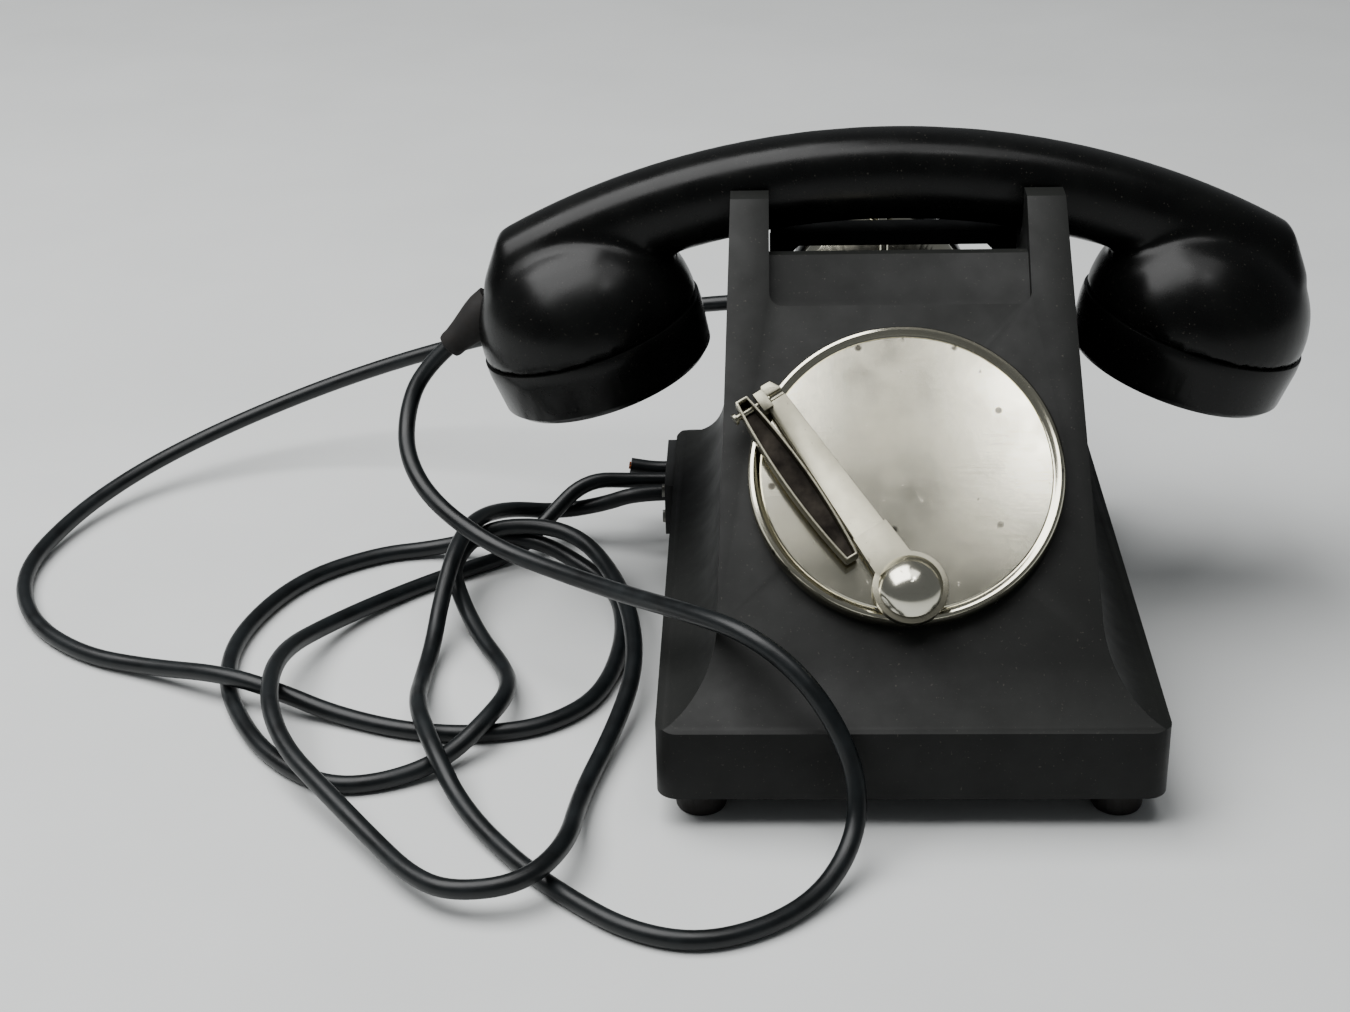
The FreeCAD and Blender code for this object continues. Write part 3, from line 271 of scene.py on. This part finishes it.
def bare_metal(name, base, dark, rough_low, rough_high, stretch=(1, 1, 1)):
    """Cut or turned metal without plating, with tool marks and a dull bloom."""
    material, tree, shader = new_surface(name)
    bloom = grain(tree, 120, 5, 0.6)
    marks = grain(tree, 700, 3, 0.5, stretch)
    tone = blend_colour(tree, spread(tree, bloom, 0.0, 1.0), linear(base), linear(dark))
    tree.links.new(tone, shader.inputs["Base Color"])
    shader.inputs["Metallic"].default_value = 1.0
    tree.links.new(spread(tree, bloom, rough_low, rough_high), shader.inputs["Roughness"])
    tree.links.new(relief(tree, marks, 0.02, 0.4), shader.inputs["Normal"])
    return material


def dull_solid(name, base, second, rough_low, rough_high, ior, scale, depth_mm,
               stretch=(1, 1, 1)):
    """A non-metal with two tones, uneven gloss and a fine relief."""
    material, tree, shader = new_surface(name)
    tone = grain(tree, scale, 5, 0.6, stretch)
    colour = blend_colour(tree, spread(tree, tone, 0.0, 1.0), linear(base), linear(second))
    tree.links.new(colour, shader.inputs["Base Color"])
    tree.links.new(spread(tree, tone, rough_low, rough_high), shader.inputs["Roughness"])
    shader.inputs["IOR"].default_value = ior
    shader.inputs["Specular IOR Level"].default_value = 0.35
    tree.links.new(relief(tree, grain(tree, scale * 6, 4, 0.6, stretch), depth_mm, 0.5),
                   shader.inputs["Normal"])
    return material


def wound_wire(name):
    """Enamelled copper wire laid in turns 0.4 mm apart, drawn coarser so that they show."""
    material, tree, shader = new_surface(name)
    place = add_node(tree, "ShaderNodeTexCoord")
    turns = add_node(tree, "ShaderNodeTexWave", {
        "Vector": place.outputs["Object"], "Scale": 260, "Distortion": 0.4},
        bands_direction="Y")
    colour = blend_colour(tree, turns.outputs["Fac"], linear("5a2412"), linear("a8552a"))
    tree.links.new(colour, shader.inputs["Base Color"])
    shader.inputs["Metallic"].default_value = 0.6
    tree.links.new(spread(tree, grain(tree, 200), 0.28, 0.45), shader.inputs["Roughness"])
    tree.links.new(relief(tree, turns.outputs["Fac"], 0.15, 0.7), shader.inputs["Normal"])
    return material


def build_materials(case_colour):
    """Make every finish of the telephone."""
    # Matt-aged case: the die's polish has gone and dust lies in the grain.
    moulded_bakelite("aged_moulded_bakelite", (*case_colour, 1.0), "3a3c38", 0.44, 0.58,
                     0.16, 0.05)
    # Handled resin keeps a deeper black and a clearer reflection.
    moulded_bakelite("handled_moulded_bakelite", linear("050505"), "1c1d1c", 0.22, 0.32,
                     0.05, 0.02)
    # Crank disc: buffed flat, so it mirrors softly; stains show brown-grey.
    nickel_plate("buffed_nickel_plate", "cdc9b6", "96917e", 0.10, 0.19,
                 (0.76, 0.0, 0.35), 0.85)
    # Small nickel parts are rounder and brighter than the disc.
    nickel_plate("polished_nickel_plate", "d2cfbf", "a39f8c", 0.12, 0.24,
                 (0.3, 0.2, 0.9))
    # Arm and handle: the plate is worn by the hand, so it is duller and greyer.
    nickel_plate("worn_nickel_plate", "8f8c7c", "625f52", 0.24, 0.38, (0.3, 0.2, 0.9), 0.4)
    # Inside of the handle's channel: brown-black steel, painted shade standing in for the
    # hollow's self-shadow.
    bare_metal("channel_painted_shade_steel", "35312c", "1b1917", 0.5, 0.7)
    # Turned and drawn steel of screws, shafts and brackets.
    bare_metal("bright_turned_steel", "a6a6a2", "77766f", 0.25, 0.42, (1, 1, 20))
    # Yellow brass with a brown bloom.
    bare_metal("turned_brass", "b28a43", "7c5a26", 0.25, 0.42, (1, 1, 20))
    # Bell metal washed with nickel: pale, slightly yellow.
    bare_metal("spun_bell_brass", "bcae84", "8f7f55", 0.18, 0.32, (1, 1, 30))
    # Bare copper strands of the cut line cord.
    bare_metal("bare_copper_strand", "b0663c", "6f3a22", 0.35, 0.5, (30, 1, 1))
    # Lacquer over sheet steel: black, thin, with an orange-peel ripple.
    dull_solid("lacquered_sheet_steel", "1a1b1b", "2b2c2b", 0.35, 0.55, 1.5, 150, 0.03)
    # Magnet steel under dark paint, grainy.
    dull_solid("painted_magnet_steel", "2b2e33", "3d3f42", 0.45, 0.6, 1.5, 220, 0.08)
    # Condenser can: grey oil paint.
    dull_solid("grey_can_paint", "7c7d76", "62635d", 0.4, 0.55, 1.5, 160, 0.03)
    # Pressed paper board in phenolic varnish, brown and fibrous.
    dull_solid("varnished_pressboard", "5a3420", "3b2012", 0.45, 0.65, 1.52, 300, 0.06,
               (1, 8, 1))
    # Moulded natural rubber of the feet and boot: brown-black, chalky, fine pores.
    dull_solid("aged_natural_rubber", "0c0a09", "171310", 0.6, 0.8, 1.52, 380, 0.10)
    # Extruded cord sheath: blue-black with a long soft gloss.
    dull_solid("extruded_cord_sheath", "080a0b", "101517", 0.30, 0.44, 1.50, 120, 0.03)
    wound_wire("enamelled_copper_wire")


FINISH_OF = {
    "aged_moulded_bakelite": ["housing", "cradle_fork"],
    "handled_moulded_bakelite": ["handset_body", "receiver_cap", "transmitter_cap",
                                 "earpiece_cap"],
    "buffed_nickel_plate": ["crank_disc"],
    "worn_nickel_plate": ["crank_arm", "crank_handle", "handle_pin"],
    "polished_nickel_plate": ["dome_nut", "earpiece_shell", "earpiece_ring", "rear_hook"],
    "bright_turned_steel": [
        "foot_screws", "housing_screws", "cord_plate_screws", "armature", "crank_shaft",
        "spring_shelf", "hook_spring", "ringer_frame", "generator_front_plate",
        "generator_rear_plate", "generator_spacers", "receiver_capsule",
        "transmitter_capsule", "earpiece_diaphragm"],
    "turned_brass": ["drive_gear", "pinion", "armature_bushes", "terminal_screws",
                     "contact_blades", "gong_posts", "clapper"],
    "spun_bell_brass": ["gong_left", "gong_right"],
    "bare_copper_strand": ["stub_cores"],
    "lacquered_sheet_steel": ["cord_plate", "base_plate"],
    "painted_magnet_steel": ["generator_magnets", "earpiece_magnet"],
    "grey_can_paint": ["condenser"],
    "varnished_pressboard": ["terminal_block", "contact_block"],
    "aged_natural_rubber": ["foot_front_left", "foot_front_right", "foot_rear_left",
                            "foot_rear_right", "cord_boot"],
    "extruded_cord_sheath": ["line_cord_stub", "handset_cord", "earpiece_cord"],
    "enamelled_copper_wire": ["armature_winding", "ringer_coils", "induction_coil"],
}


def finish_name(node):
    """The finish that a node takes."""
    return next(name for name, nodes in FINISH_OF.items() if node in nodes)


# -------------------------------------------------------------------------- mesh building

def merged_copy(node):
    """A bmesh of a CAD node with its loose triangles joined and flat faces merged."""
    mesh = bmesh.new()
    mesh.from_mesh(NODES[node].data)
    bmesh.ops.remove_doubles(mesh, verts=mesh.verts, dist=1e-6)
    bmesh.ops.dissolve_limit(mesh, angle_limit=math.radians(0.4), verts=mesh.verts,
                             edges=mesh.edges)
    return mesh


def show_mesh(mesh, name, body, finish, replaced=()):
    """Turn a bmesh into a shown piece that rides on a body and stands for CAD nodes."""
    for face in mesh.faces:
        face.smooth = True
    for edge in mesh.edges:
        edge.smooth = not edge.is_manifold or edge.calc_face_angle(0) < math.radians(32)
    data = bpy.data.meshes.new(name)
    mesh.to_mesh(data)
    mesh.free()
    piece = bpy.data.objects.new(name, data)
    bpy.context.scene.collection.objects.link(piece)
    data.materials.append(bpy.data.materials[finish])
    if body:
        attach(piece, body)
    if replaced:
        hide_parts(*replaced)
    return piece


def eased_copy(node, width, segments=2, least_angle=28):
    """A CAD node's shape with its sharp edges rounded, shown in its place."""
    mesh = merged_copy(node)
    sharp = [edge for edge in mesh.edges
             if edge.is_manifold and edge.calc_face_angle(0) > math.radians(least_angle)]
    bmesh.ops.bevel(mesh, geom=sharp, offset=width, offset_type="OFFSET", segments=segments,
                    profile=0.5, affect="EDGES", material=-1, clamp_overlap=True)
    return show_mesh(mesh, node + "_eased", NODES[node]["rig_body"], finish_name(node), [node])


def dress(nodes):
    """Give CAD nodes their finish as they are."""
    for node in nodes:
        data = NODES[node].data
        data.materials.clear()
        data.materials.append(bpy.data.materials[finish_name(node)])


# ------------------------------------------------------------------------------ operators

class TELEPHONE_OT_case(bpy.types.Operator):
    """Moulded case, cradle fork, base plate, feet and screws"""

    bl_idname = "telephone.case"
    bl_label = "Case"

    def execute(self, context):
        settings = context.scene.telephone
        eased_copy("housing", settings.case_edge, 3)
        eased_copy("cradle_fork", settings.case_edge, 2)
        for node in ("foot_front_left", "foot_front_right", "foot_rear_left",
                     "foot_rear_right"):
            eased_copy(node, settings.metal_edge * 3, 2)
        dress(["base_plate", "foot_screws", "housing_screws"])
        return {"FINISHED"}


FACE_SLOPE = math.radians(43.5)
ARM_LEAN = math.radians(33)
HANDLE_LENGTH = 56 * MM
# Its own origin at the disc's centre on the face, its own Z out of the face.
ON_FACE = (Matrix.Translation((0, (56.6 - HALF_DEPTH) * MM, 80.2 * MM))
           @ Matrix.Rotation(FACE_SLOPE, 4, "X"))
# Its own origin at the dome nut under the arm, its own Y along the arm.
ON_ARM = (ON_FACE @ Matrix.Translation((0, -35.1 * MM, 6.2 * MM))
          @ Matrix.Rotation(ARM_LEAN, 4, "Z"))


def turned_piece(profile, steps, place):
    """A solid of revolution from a half profile in mm, moved to its place."""
    mesh = bmesh.new()
    points = [mesh.verts.new((x * MM, 0, z * MM)) for x, z in profile]
    lines = [mesh.edges.new(pair) for pair in zip(points, points[1:])]
    bmesh.ops.spin(mesh, geom=points + lines, cent=(0, 0, 0), axis=(0, 0, 1),
                   angle=math.tau, steps=steps, use_merge=True, use_duplicate=False)
    bmesh.ops.remove_doubles(mesh, verts=mesh.verts, dist=1e-6)
    bmesh.ops.recalc_face_normals(mesh, faces=mesh.faces)
    bmesh.ops.transform(mesh, matrix=place, verts=mesh.verts)
    return mesh


def pressed_disc():
    """The crank disc: flat almost to the edge, a fine groove, then a thin rolled rim."""
    return turned_piece([
        (0, 5.2), (20, 5.2), (40.6, 5.2), (41.0, 4.9), (41.5, 5.15), (42.1, 5.75),
        (42.9, 6.05), (43.7, 5.8), (44.3, 5.0), (44.5, 4.0), (44.5, 1), (43.5, 1),
        (43.5, 4.0), (42.6, 4.8), (41.2, 4.2), (0, 4.2)], 160, ON_FACE)


def channel_handle(edge):
    """The folding handle: a pressed channel, widest half way along, open on its front."""
    mesh = bmesh.new()
    bmesh.ops.create_cube(mesh, size=1.0)
    bmesh.ops.scale(mesh, vec=(7.8 * MM, HANDLE_LENGTH, 4.6 * MM), verts=mesh.verts)
    long_edges = [line for line in mesh.edges if line.calc_length() > HANDLE_LENGTH * 0.9]
    bmesh.ops.subdivide_edges(mesh, edges=long_edges, cuts=40, use_grid_fill=True)
    for vertex in mesh.verts:
        along = vertex.co.y / (HANDLE_LENGTH / 2)
        vertex.co.x *= 0.5 + 0.5 * (1 - along * along)
    bmesh.ops.recalc_face_normals(mesh, faces=mesh.faces)
    front = [face for face in mesh.faces if face.normal.z > 0.5]
    bmesh.ops.inset_region(mesh, faces=front, thickness=0.8 * MM, use_even_offset=True)
    sunk = bmesh.ops.extrude_face_region(mesh, geom=front)["geom"]
    bmesh.ops.delete(mesh, geom=front, context="FACES_ONLY")
    bmesh.ops.translate(mesh, vec=(0, 0, -3.5 * MM),
                        verts=[item for item in sunk if isinstance(item, bmesh.types.BMVert)])
    # The sunk floor and walls take the second slot, a dark steel that paints the channel's
    # shade.
    for item in sunk:
        if isinstance(item, bmesh.types.BMFace):
            item.material_index = 1
    bmesh.ops.recalc_face_normals(mesh, faces=mesh.faces)
    sharp = [line for line in mesh.edges
             if line.is_manifold and line.calc_face_angle(0) > math.radians(50)]
    bmesh.ops.bevel(mesh, geom=sharp, offset=edge, offset_type="OFFSET", segments=2,
                    profile=0.5, affect="EDGES", material=-1, clamp_overlap=True)
    place = ON_ARM @ Matrix.Translation((-8.9 * MM, 43.1 * MM, 2.9 * MM))
    bmesh.ops.transform(mesh, matrix=place, verts=mesh.verts)
    return mesh


class TELEPHONE_OT_crank(bpy.types.Operator):
    """Nickel disc, arm, dome nut and folding handle"""

    bl_idname = "telephone.crank"
    bl_label = "Crank"

    def execute(self, context):
        edge = context.scene.telephone.metal_edge
        eased_copy("crank_arm", edge * 1.6, 3)
        show_mesh(pressed_disc(), "pressed_disc", "crank", "buffed_nickel_plate",
                  ["crank_disc"])
        handle = show_mesh(channel_handle(edge), "channel_handle", "crank_handle",
                           "worn_nickel_plate", ["crank_handle"])
        # Second slot: the channel's inside in dark steel, as painted shade of the hollow.
        handle.data.materials.append(bpy.data.materials["channel_painted_shade_steel"])
        dress(["dome_nut", "handle_pin", "crank_shaft"])
        return {"FINISHED"}


GRIP_CENTRE = Vector((0, (143 - HALF_DEPTH) * MM, -93 * MM))
CAP_LEAN = math.radians(17)
CAP_X, CAP_Z = 94 * MM, 92.5 * MM


def bowl_frame(side):
    """Matrix of a bowl: its own origin on the cap joint, its own Z up along the bowl."""
    return (Matrix.Translation((side * CAP_X, GRIP_CENTRE.y, CAP_Z))
            @ Matrix.Rotation(side * CAP_LEAN, 4, "Y"))


def trim(mesh, place, outward):
    """Cut off what lies beyond a plane and close the cut."""
    cut = bmesh.ops.bisect_plane(
        mesh, geom=mesh.verts[:] + mesh.edges[:] + mesh.faces[:], dist=1e-7, plane_co=place,
        plane_no=outward, clear_outer=True)
    rim = [item for item in cut["geom_cut"] if isinstance(item, bmesh.types.BMEdge)]
    bmesh.ops.holes_fill(mesh, edges=rim)


def spun_grip():
    """The curved grip as one spun section, its ends cut on the line of the bowls' walls."""
    grip = bmesh.new()
    section = bmesh.ops.create_circle(grip, cap_ends=True, segments=48, radius=1.0)
    for vertex in section["verts"]:
        across, up = vertex.co.x, vertex.co.y
        fuller = 2 / 2.5
        vertex.co = Vector((0, math.copysign(abs(across) ** fuller, across) * 13.2 * MM,
                            math.copysign(abs(up) ** fuller, up) * 13.6 * MM))
    start = Matrix.Rotation(math.radians(-35), 4, "Y")
    bmesh.ops.translate(grip, verts=grip.verts, vec=(0, 0, 234 * MM))
    bmesh.ops.transform(grip, matrix=start, verts=grip.verts)
    bmesh.ops.spin(grip, geom=grip.verts[:] + grip.edges[:] + grip.faces[:], cent=(0, 0, 0),
                   axis=(0, 1, 0), angle=math.radians(70), steps=70, use_duplicate=False)
    bmesh.ops.translate(grip, verts=grip.verts, vec=GRIP_CENTRE)
    for side in (-1, 1):
        turned = bowl_frame(side)
        for swing in (-32, 0, 32):
            outward = Vector((side * math.cos(math.radians(swing)),
                              math.sin(math.radians(swing)), 0))
            slope = outward * 0.81 + Vector((0, 0, 0.59))
            trim(grip, turned @ (outward * 18 * MM + Vector((0, 0, 36.5 * MM))),
                 turned.to_3x3() @ slope)
            trim(grip, turned @ (outward * 27 * MM), turned.to_3x3() @ outward)
    bmesh.ops.recalc_face_normals(grip, faces=grip.faces)
    return grip


def add_bowl(mesh, side):
    """A domed bowl over one cap, turned from its half profile."""
    profile = [(0, 0), (34.6, 0), (34.9, 1.5), (35, 5), (34.3, 9.5), (32.6, 14.5),
               (30, 19), (26.6, 23.2), (22.4, 26.8), (17, 29.8), (9, 32), (0, 32.8)]
    points = [mesh.verts.new((x * MM, 0, z * MM)) for x, z in profile]
    lines = [mesh.edges.new(pair) for pair in zip(points, points[1:])]
    spun = bmesh.ops.spin(mesh, geom=points + lines, cent=(0, 0, 0), axis=(0, 0, 1),
                          angle=math.tau, steps=72, use_merge=True, use_duplicate=False)
    turned = {item for item in spun["geom_last"] if isinstance(item, bmesh.types.BMVert)}
    reached = set(points) | turned
    grown = True
    while grown:
        grown = {edge.other_vert(vertex) for vertex in reached
                 for edge in vertex.link_edges} - reached
        reached |= grown
    bmesh.ops.remove_doubles(mesh, verts=list(reached), dist=1e-6)
    bowl = [vertex for vertex in reached if vertex.is_valid]
    bmesh.ops.transform(mesh, matrix=bowl_frame(side), verts=bowl)


def with_modifier(mesh, kind, **settings):
    """Run one modifier on a bmesh and return the result as a new bmesh."""
    data = bpy.data.meshes.new("handset_rough")
    mesh.to_mesh(data)
    mesh.free()
    holder = bpy.data.objects.new("handset_rough", data)
    bpy.context.scene.collection.objects.link(holder)
    modifier = holder.modifiers.new("step", kind)
    for key, value in settings.items():
        setattr(modifier, key, value)
    bpy.context.view_layer.update()
    finished = holder.evaluated_get(bpy.context.evaluated_depsgraph_get())
    result = bmesh.new()
    result.from_mesh(finished.data)
    bpy.data.objects.remove(holder)
    bpy.data.meshes.remove(data)
    return result


def melt(mesh, passes):
    """Smooth the handset everywhere but at the flat rims under the caps."""
    frames = [bowl_frame(side).inverted() for side in (-1, 1)]
    soft = []
    for vertex in mesh.verts:
        place = frames[0] @ vertex.co if vertex.co.x < 0 else frames[1] @ vertex.co
        if place.z > 3.5 * MM:
            soft.append(vertex)
    for _ in range(passes):
        bmesh.ops.smooth_vert(mesh, verts=soft, factor=0.5, use_axis_x=True,
                              use_axis_y=True, use_axis_z=True)


def capsule_pockets():
    """An object with the two round pockets that hold the capsules, to be cut out."""
    mesh = bmesh.new()
    for side in (-1, 1):
        bmesh.ops.create_cone(mesh, cap_ends=True, segments=96, radius1=28.6 * MM,
                              radius2=28.6 * MM, depth=20 * MM,
                              matrix=bowl_frame(side) @ Matrix.Translation((0, 0, 5 * MM)))
    data = bpy.data.meshes.new("capsule_pockets")
    mesh.to_mesh(data)
    mesh.free()
    return bpy.data.objects.new("capsule_pockets", data)


def rubber_boot():
    """The cord's soft sleeve, waisted towards the cord and rounded at its lip."""
    root = Vector((-127.2, 143 - HALF_DEPTH, 96.4)) * MM
    tip = Vector((-139.6, 141 - HALF_DEPTH, 85.6)) * MM
    place = Matrix.Translation(root) @ (tip - root).to_track_quat("Z", "Y").to_matrix().to_4x4()
    return turned_piece([
        (0, -4), (6.9, -4), (7.0, 0), (6.6, 3), (5.8, 6.5), (5.0, 10), (4.5, 13),
        (4.4, 15.2), (4.0, 16.2), (3.2, 16.6), (0, 16.6)], 48, place)


class TELEPHONE_OT_handset(bpy.types.Operator):
    """Handset body, screwed caps, capsules and cord boot"""

    bl_idname = "telephone.handset"
    bl_label = "Handset"

    def execute(self, context):
        settings = context.scene.telephone
        edge = settings.metal_edge
        body = spun_grip()
        for side in (-1, 1):
            add_bowl(body, side)
        bmesh.ops.recalc_face_normals(body, faces=body.faces)
        body = with_modifier(body, "REMESH", mode="VOXEL", voxel_size=settings.handset_grain)
        melt(body, settings.handset_smoothing)
        pockets = capsule_pockets()
        context.scene.collection.objects.link(pockets)
        body = with_modifier(body, "BOOLEAN", operation="DIFFERENCE", solver="EXACT",
                             object=pockets)
        bpy.data.objects.remove(pockets)
        show_mesh(body, "handset_moulding", "handset", "handled_moulded_bakelite",
                  ["handset_body"])
        for node in ("receiver_cap", "transmitter_cap"):
            eased_copy(node, edge * 2, 2)
        show_mesh(rubber_boot(), "rubber_boot", "handset", "aged_natural_rubber",
                  ["cord_boot"])
        dress(["receiver_capsule", "transmitter_capsule"])
        return {"FINISHED"}


class TELEPHONE_OT_works(bpy.types.Operator):
    """Generator, bell, circuit and cradle spring inside the case"""

    bl_idname = "telephone.works"
    bl_label = "Inner works"

    def execute(self, context):
        dress([
            "drive_gear", "pinion", "armature", "armature_winding", "armature_bushes",
            "generator_front_plate", "generator_rear_plate", "generator_spacers",
            "generator_magnets", "spring_shelf", "hook_spring", "contact_block",
            "contact_blades", "ringer_frame", "ringer_coils", "gong_left", "gong_right",
            "gong_posts", "clapper", "induction_coil", "condenser", "terminal_block",
            "terminal_screws"])
        return {"FINISHED"}


class TELEPHONE_OT_earpiece(bpy.types.Operator):
    """Second earpiece with its hook and ring"""

    bl_idname = "telephone.earpiece"
    bl_label = "Second earpiece"

    def execute(self, context):
        edge = context.scene.telephone.metal_edge
        for node in ("earpiece_cap", "earpiece_shell"):
            eased_copy(node, edge, 2)
        dress(["earpiece_ring", "rear_hook", "earpiece_magnet", "earpiece_diaphragm"])
        return {"FINISHED"}


def laid_cord(name, points, diameter):
    """A cord's mesh tube and its centreline from one smooth curve through its control points."""
    curve = bpy.data.curves.new(name, "CURVE")
    curve.dimensions = "3D"
    curve.resolution_u = 7
    line = curve.splines.new("NURBS")
    line.points.add(len(points) - 1)
    for point, (x, y, z) in zip(line.points, points):
        point.co = (x * MM, (y - HALF_DEPTH) * MM, z * MM, 1)
    line.order_u = 3
    line.use_endpoint_u = True
    holder = bpy.data.objects.new(name + "_line", curve)
    bpy.context.scene.collection.objects.link(holder)
    bpy.context.view_layer.update()
    bare = bpy.data.meshes.new_from_object(
        holder.evaluated_get(bpy.context.evaluated_depsgraph_get()))
    centreline = [tuple(vertex.co) for vertex in bare.vertices]
    curve.bevel_depth = diameter / 2
    curve.bevel_resolution = 5
    curve.use_fill_caps = True
    bpy.context.view_layer.update()
    data = bpy.data.meshes.new_from_object(
        holder.evaluated_get(bpy.context.evaluated_depsgraph_get()))
    data.name = name
    bpy.data.objects.remove(holder)
    piece = bpy.data.objects.new(name, data)
    bpy.context.scene.collection.objects.link(piece)
    for polygon in data.polygons:
        polygon.use_smooth = True
    data.materials.clear()
    data.materials.append(bpy.data.materials["extruded_cord_sheath"])
    return piece, centreline


class TELEPHONE_OT_cords(bpy.types.Operator):
    """Handset cord, earpiece cord, cut line cord and their plate"""

    bl_idname = "telephone.cords"
    bl_label = "Cords"

    def execute(self, context):
        diameter = context.scene.telephone.cord_diameter
        dress(["line_cord_stub", "stub_cores", "cord_plate_screws"])
        eased_copy("cord_plate", context.scene.telephone.metal_edge * 2, 2)
        cord, line = laid_cord("handset_cord_laid", HANDSET_CORD, diameter)
        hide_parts("handset_cord")
        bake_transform(cord)
        cord, line = laid_cord("earpiece_cord_laid", EARPIECE_CORD, diameter)
        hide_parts("earpiece_cord")
        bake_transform(cord)
        return {"FINISHED"}


def camera_matrix():
    """Where the camera stands and how it is turned."""
    pitch, yaw, roll = (math.radians(a) for a in (26.964, -2.608, -1.537))
    ahead = Vector((math.sin(yaw) * math.cos(pitch), math.cos(yaw) * math.cos(pitch),
                    -math.sin(pitch)))
    level = Vector((math.cos(yaw), -math.sin(yaw), 0))
    above = level.cross(ahead)
    right = math.cos(roll) * level + math.sin(roll) * above
    top = -math.sin(roll) * level + math.cos(roll) * above
    turn = Matrix((right, top, -ahead)).transposed()
    return Matrix.Translation((-0.03924, -0.62915, 0.36219)) @ turn.to_4x4()


class TELEPHONE_OT_stage(bpy.types.Operator):
    """Pale floor, soft lights and the camera"""

    bl_idname = "telephone.stage"
    bl_label = "Stage"

    def execute(self, context):
        scene = context.scene
        material, tree, shader = new_surface("pale_painted_board")
        tone = blend_colour(tree, spread(tree, grain(tree, 9, 5), 0.0, 1.0),
                            linear("d9dbda"), linear("d2d4d3"))
        tree.links.new(tone, shader.inputs["Base Color"])
        shader.inputs["Roughness"].default_value = 0.6
        mesh = bmesh.new()
        bmesh.ops.create_grid(mesh, x_segments=1, y_segments=1, size=3.0)
        floor_data = bpy.data.meshes.new("floor")
        mesh.to_mesh(floor_data)
        mesh.free()
        floor = bpy.data.objects.new("floor", floor_data)
        floor_data.materials.append(material)
        scene.collection.objects.link(floor)
        for name, place, aim, size, power in (
                ("key_panel", (-0.66, -0.04, 1.3), (-0.2, 0.0, 0.0), 1.3, 37.0),
                ("front_ceiling_panel", (0.24, -0.16, 1.35), (0.1, -0.1, 0.05), 0.55, 2.6),
                ("small_lamp", (0.24, -0.52, 1.35), (0.0, 0.0, 0.08), 0.15, 1.0)):
            data = bpy.data.lights.new(name, "AREA")
            data.size = size
            data.energy = power
            lamp = bpy.data.objects.new(name, data)
            lamp.location = place
            lamp.rotation_mode = "QUATERNION"
            lamp.rotation_quaternion = (Vector(aim) - Vector(place)).to_track_quat("-Z", "Y")
            scene.collection.objects.link(lamp)
        world = bpy.data.worlds.new("soft_room")
        world.use_nodes = True
        world.node_tree.nodes["Background"].inputs["Color"].default_value = linear("dfe3e6")
        world.node_tree.nodes["Background"].inputs["Strength"].default_value = 0.2
        scene.world = world
        camera_data = bpy.data.cameras.new("camera")
        camera_data.lens = 60
        camera_data.sensor_width = 36
        camera = bpy.data.objects.new("camera", camera_data)
        camera.matrix_world = camera_matrix()
        scene.collection.objects.link(camera)
        scene.camera = camera
        return {"FINISHED"}


class TELEPHONE_PT_panel(bpy.types.Panel):
    """Sizes, colours and the operators that build each piece"""

    bl_label = "Crank Desk Telephone"
    bl_idname = "TELEPHONE_PT_panel"
    bl_space_type = "VIEW_3D"
    bl_region_type = "UI"
    bl_category = "Telephone"

    def draw(self, context):
        settings = context.scene.telephone
        for name in ("cord_diameter", "case_edge", "metal_edge", "handset_grain",
                     "bakelite", "handset_smoothing"):
            self.layout.prop(settings, name)
        for operator in OPERATORS:
            self.layout.operator(operator.bl_idname)


OPERATORS = [
    TELEPHONE_OT_case, TELEPHONE_OT_crank, TELEPHONE_OT_handset, TELEPHONE_OT_works,
    TELEPHONE_OT_earpiece, TELEPHONE_OT_cords, TELEPHONE_OT_stage,
]
CLASSES = [TelephoneSettings] + OPERATORS + [TELEPHONE_PT_panel]


def register():
    """Register the classes and the scene's settings."""
    for item in CLASSES:
        bpy.utils.register_class(item)
    bpy.types.Scene.telephone = PointerProperty(type=TelephoneSettings)


def unregister():
    """Undo register."""
    del bpy.types.Scene.telephone
    for item in reversed(CLASSES):
        bpy.utils.unregister_class(item)


def main():
    """Build the telephone."""
    register()
    build_materials(bpy.context.scene.telephone.bakelite)
    for operator in OPERATORS:
        group, action = operator.bl_idname.split(".")
        getattr(getattr(bpy.ops, group), action)()


if __name__ == "__main__":
    main()
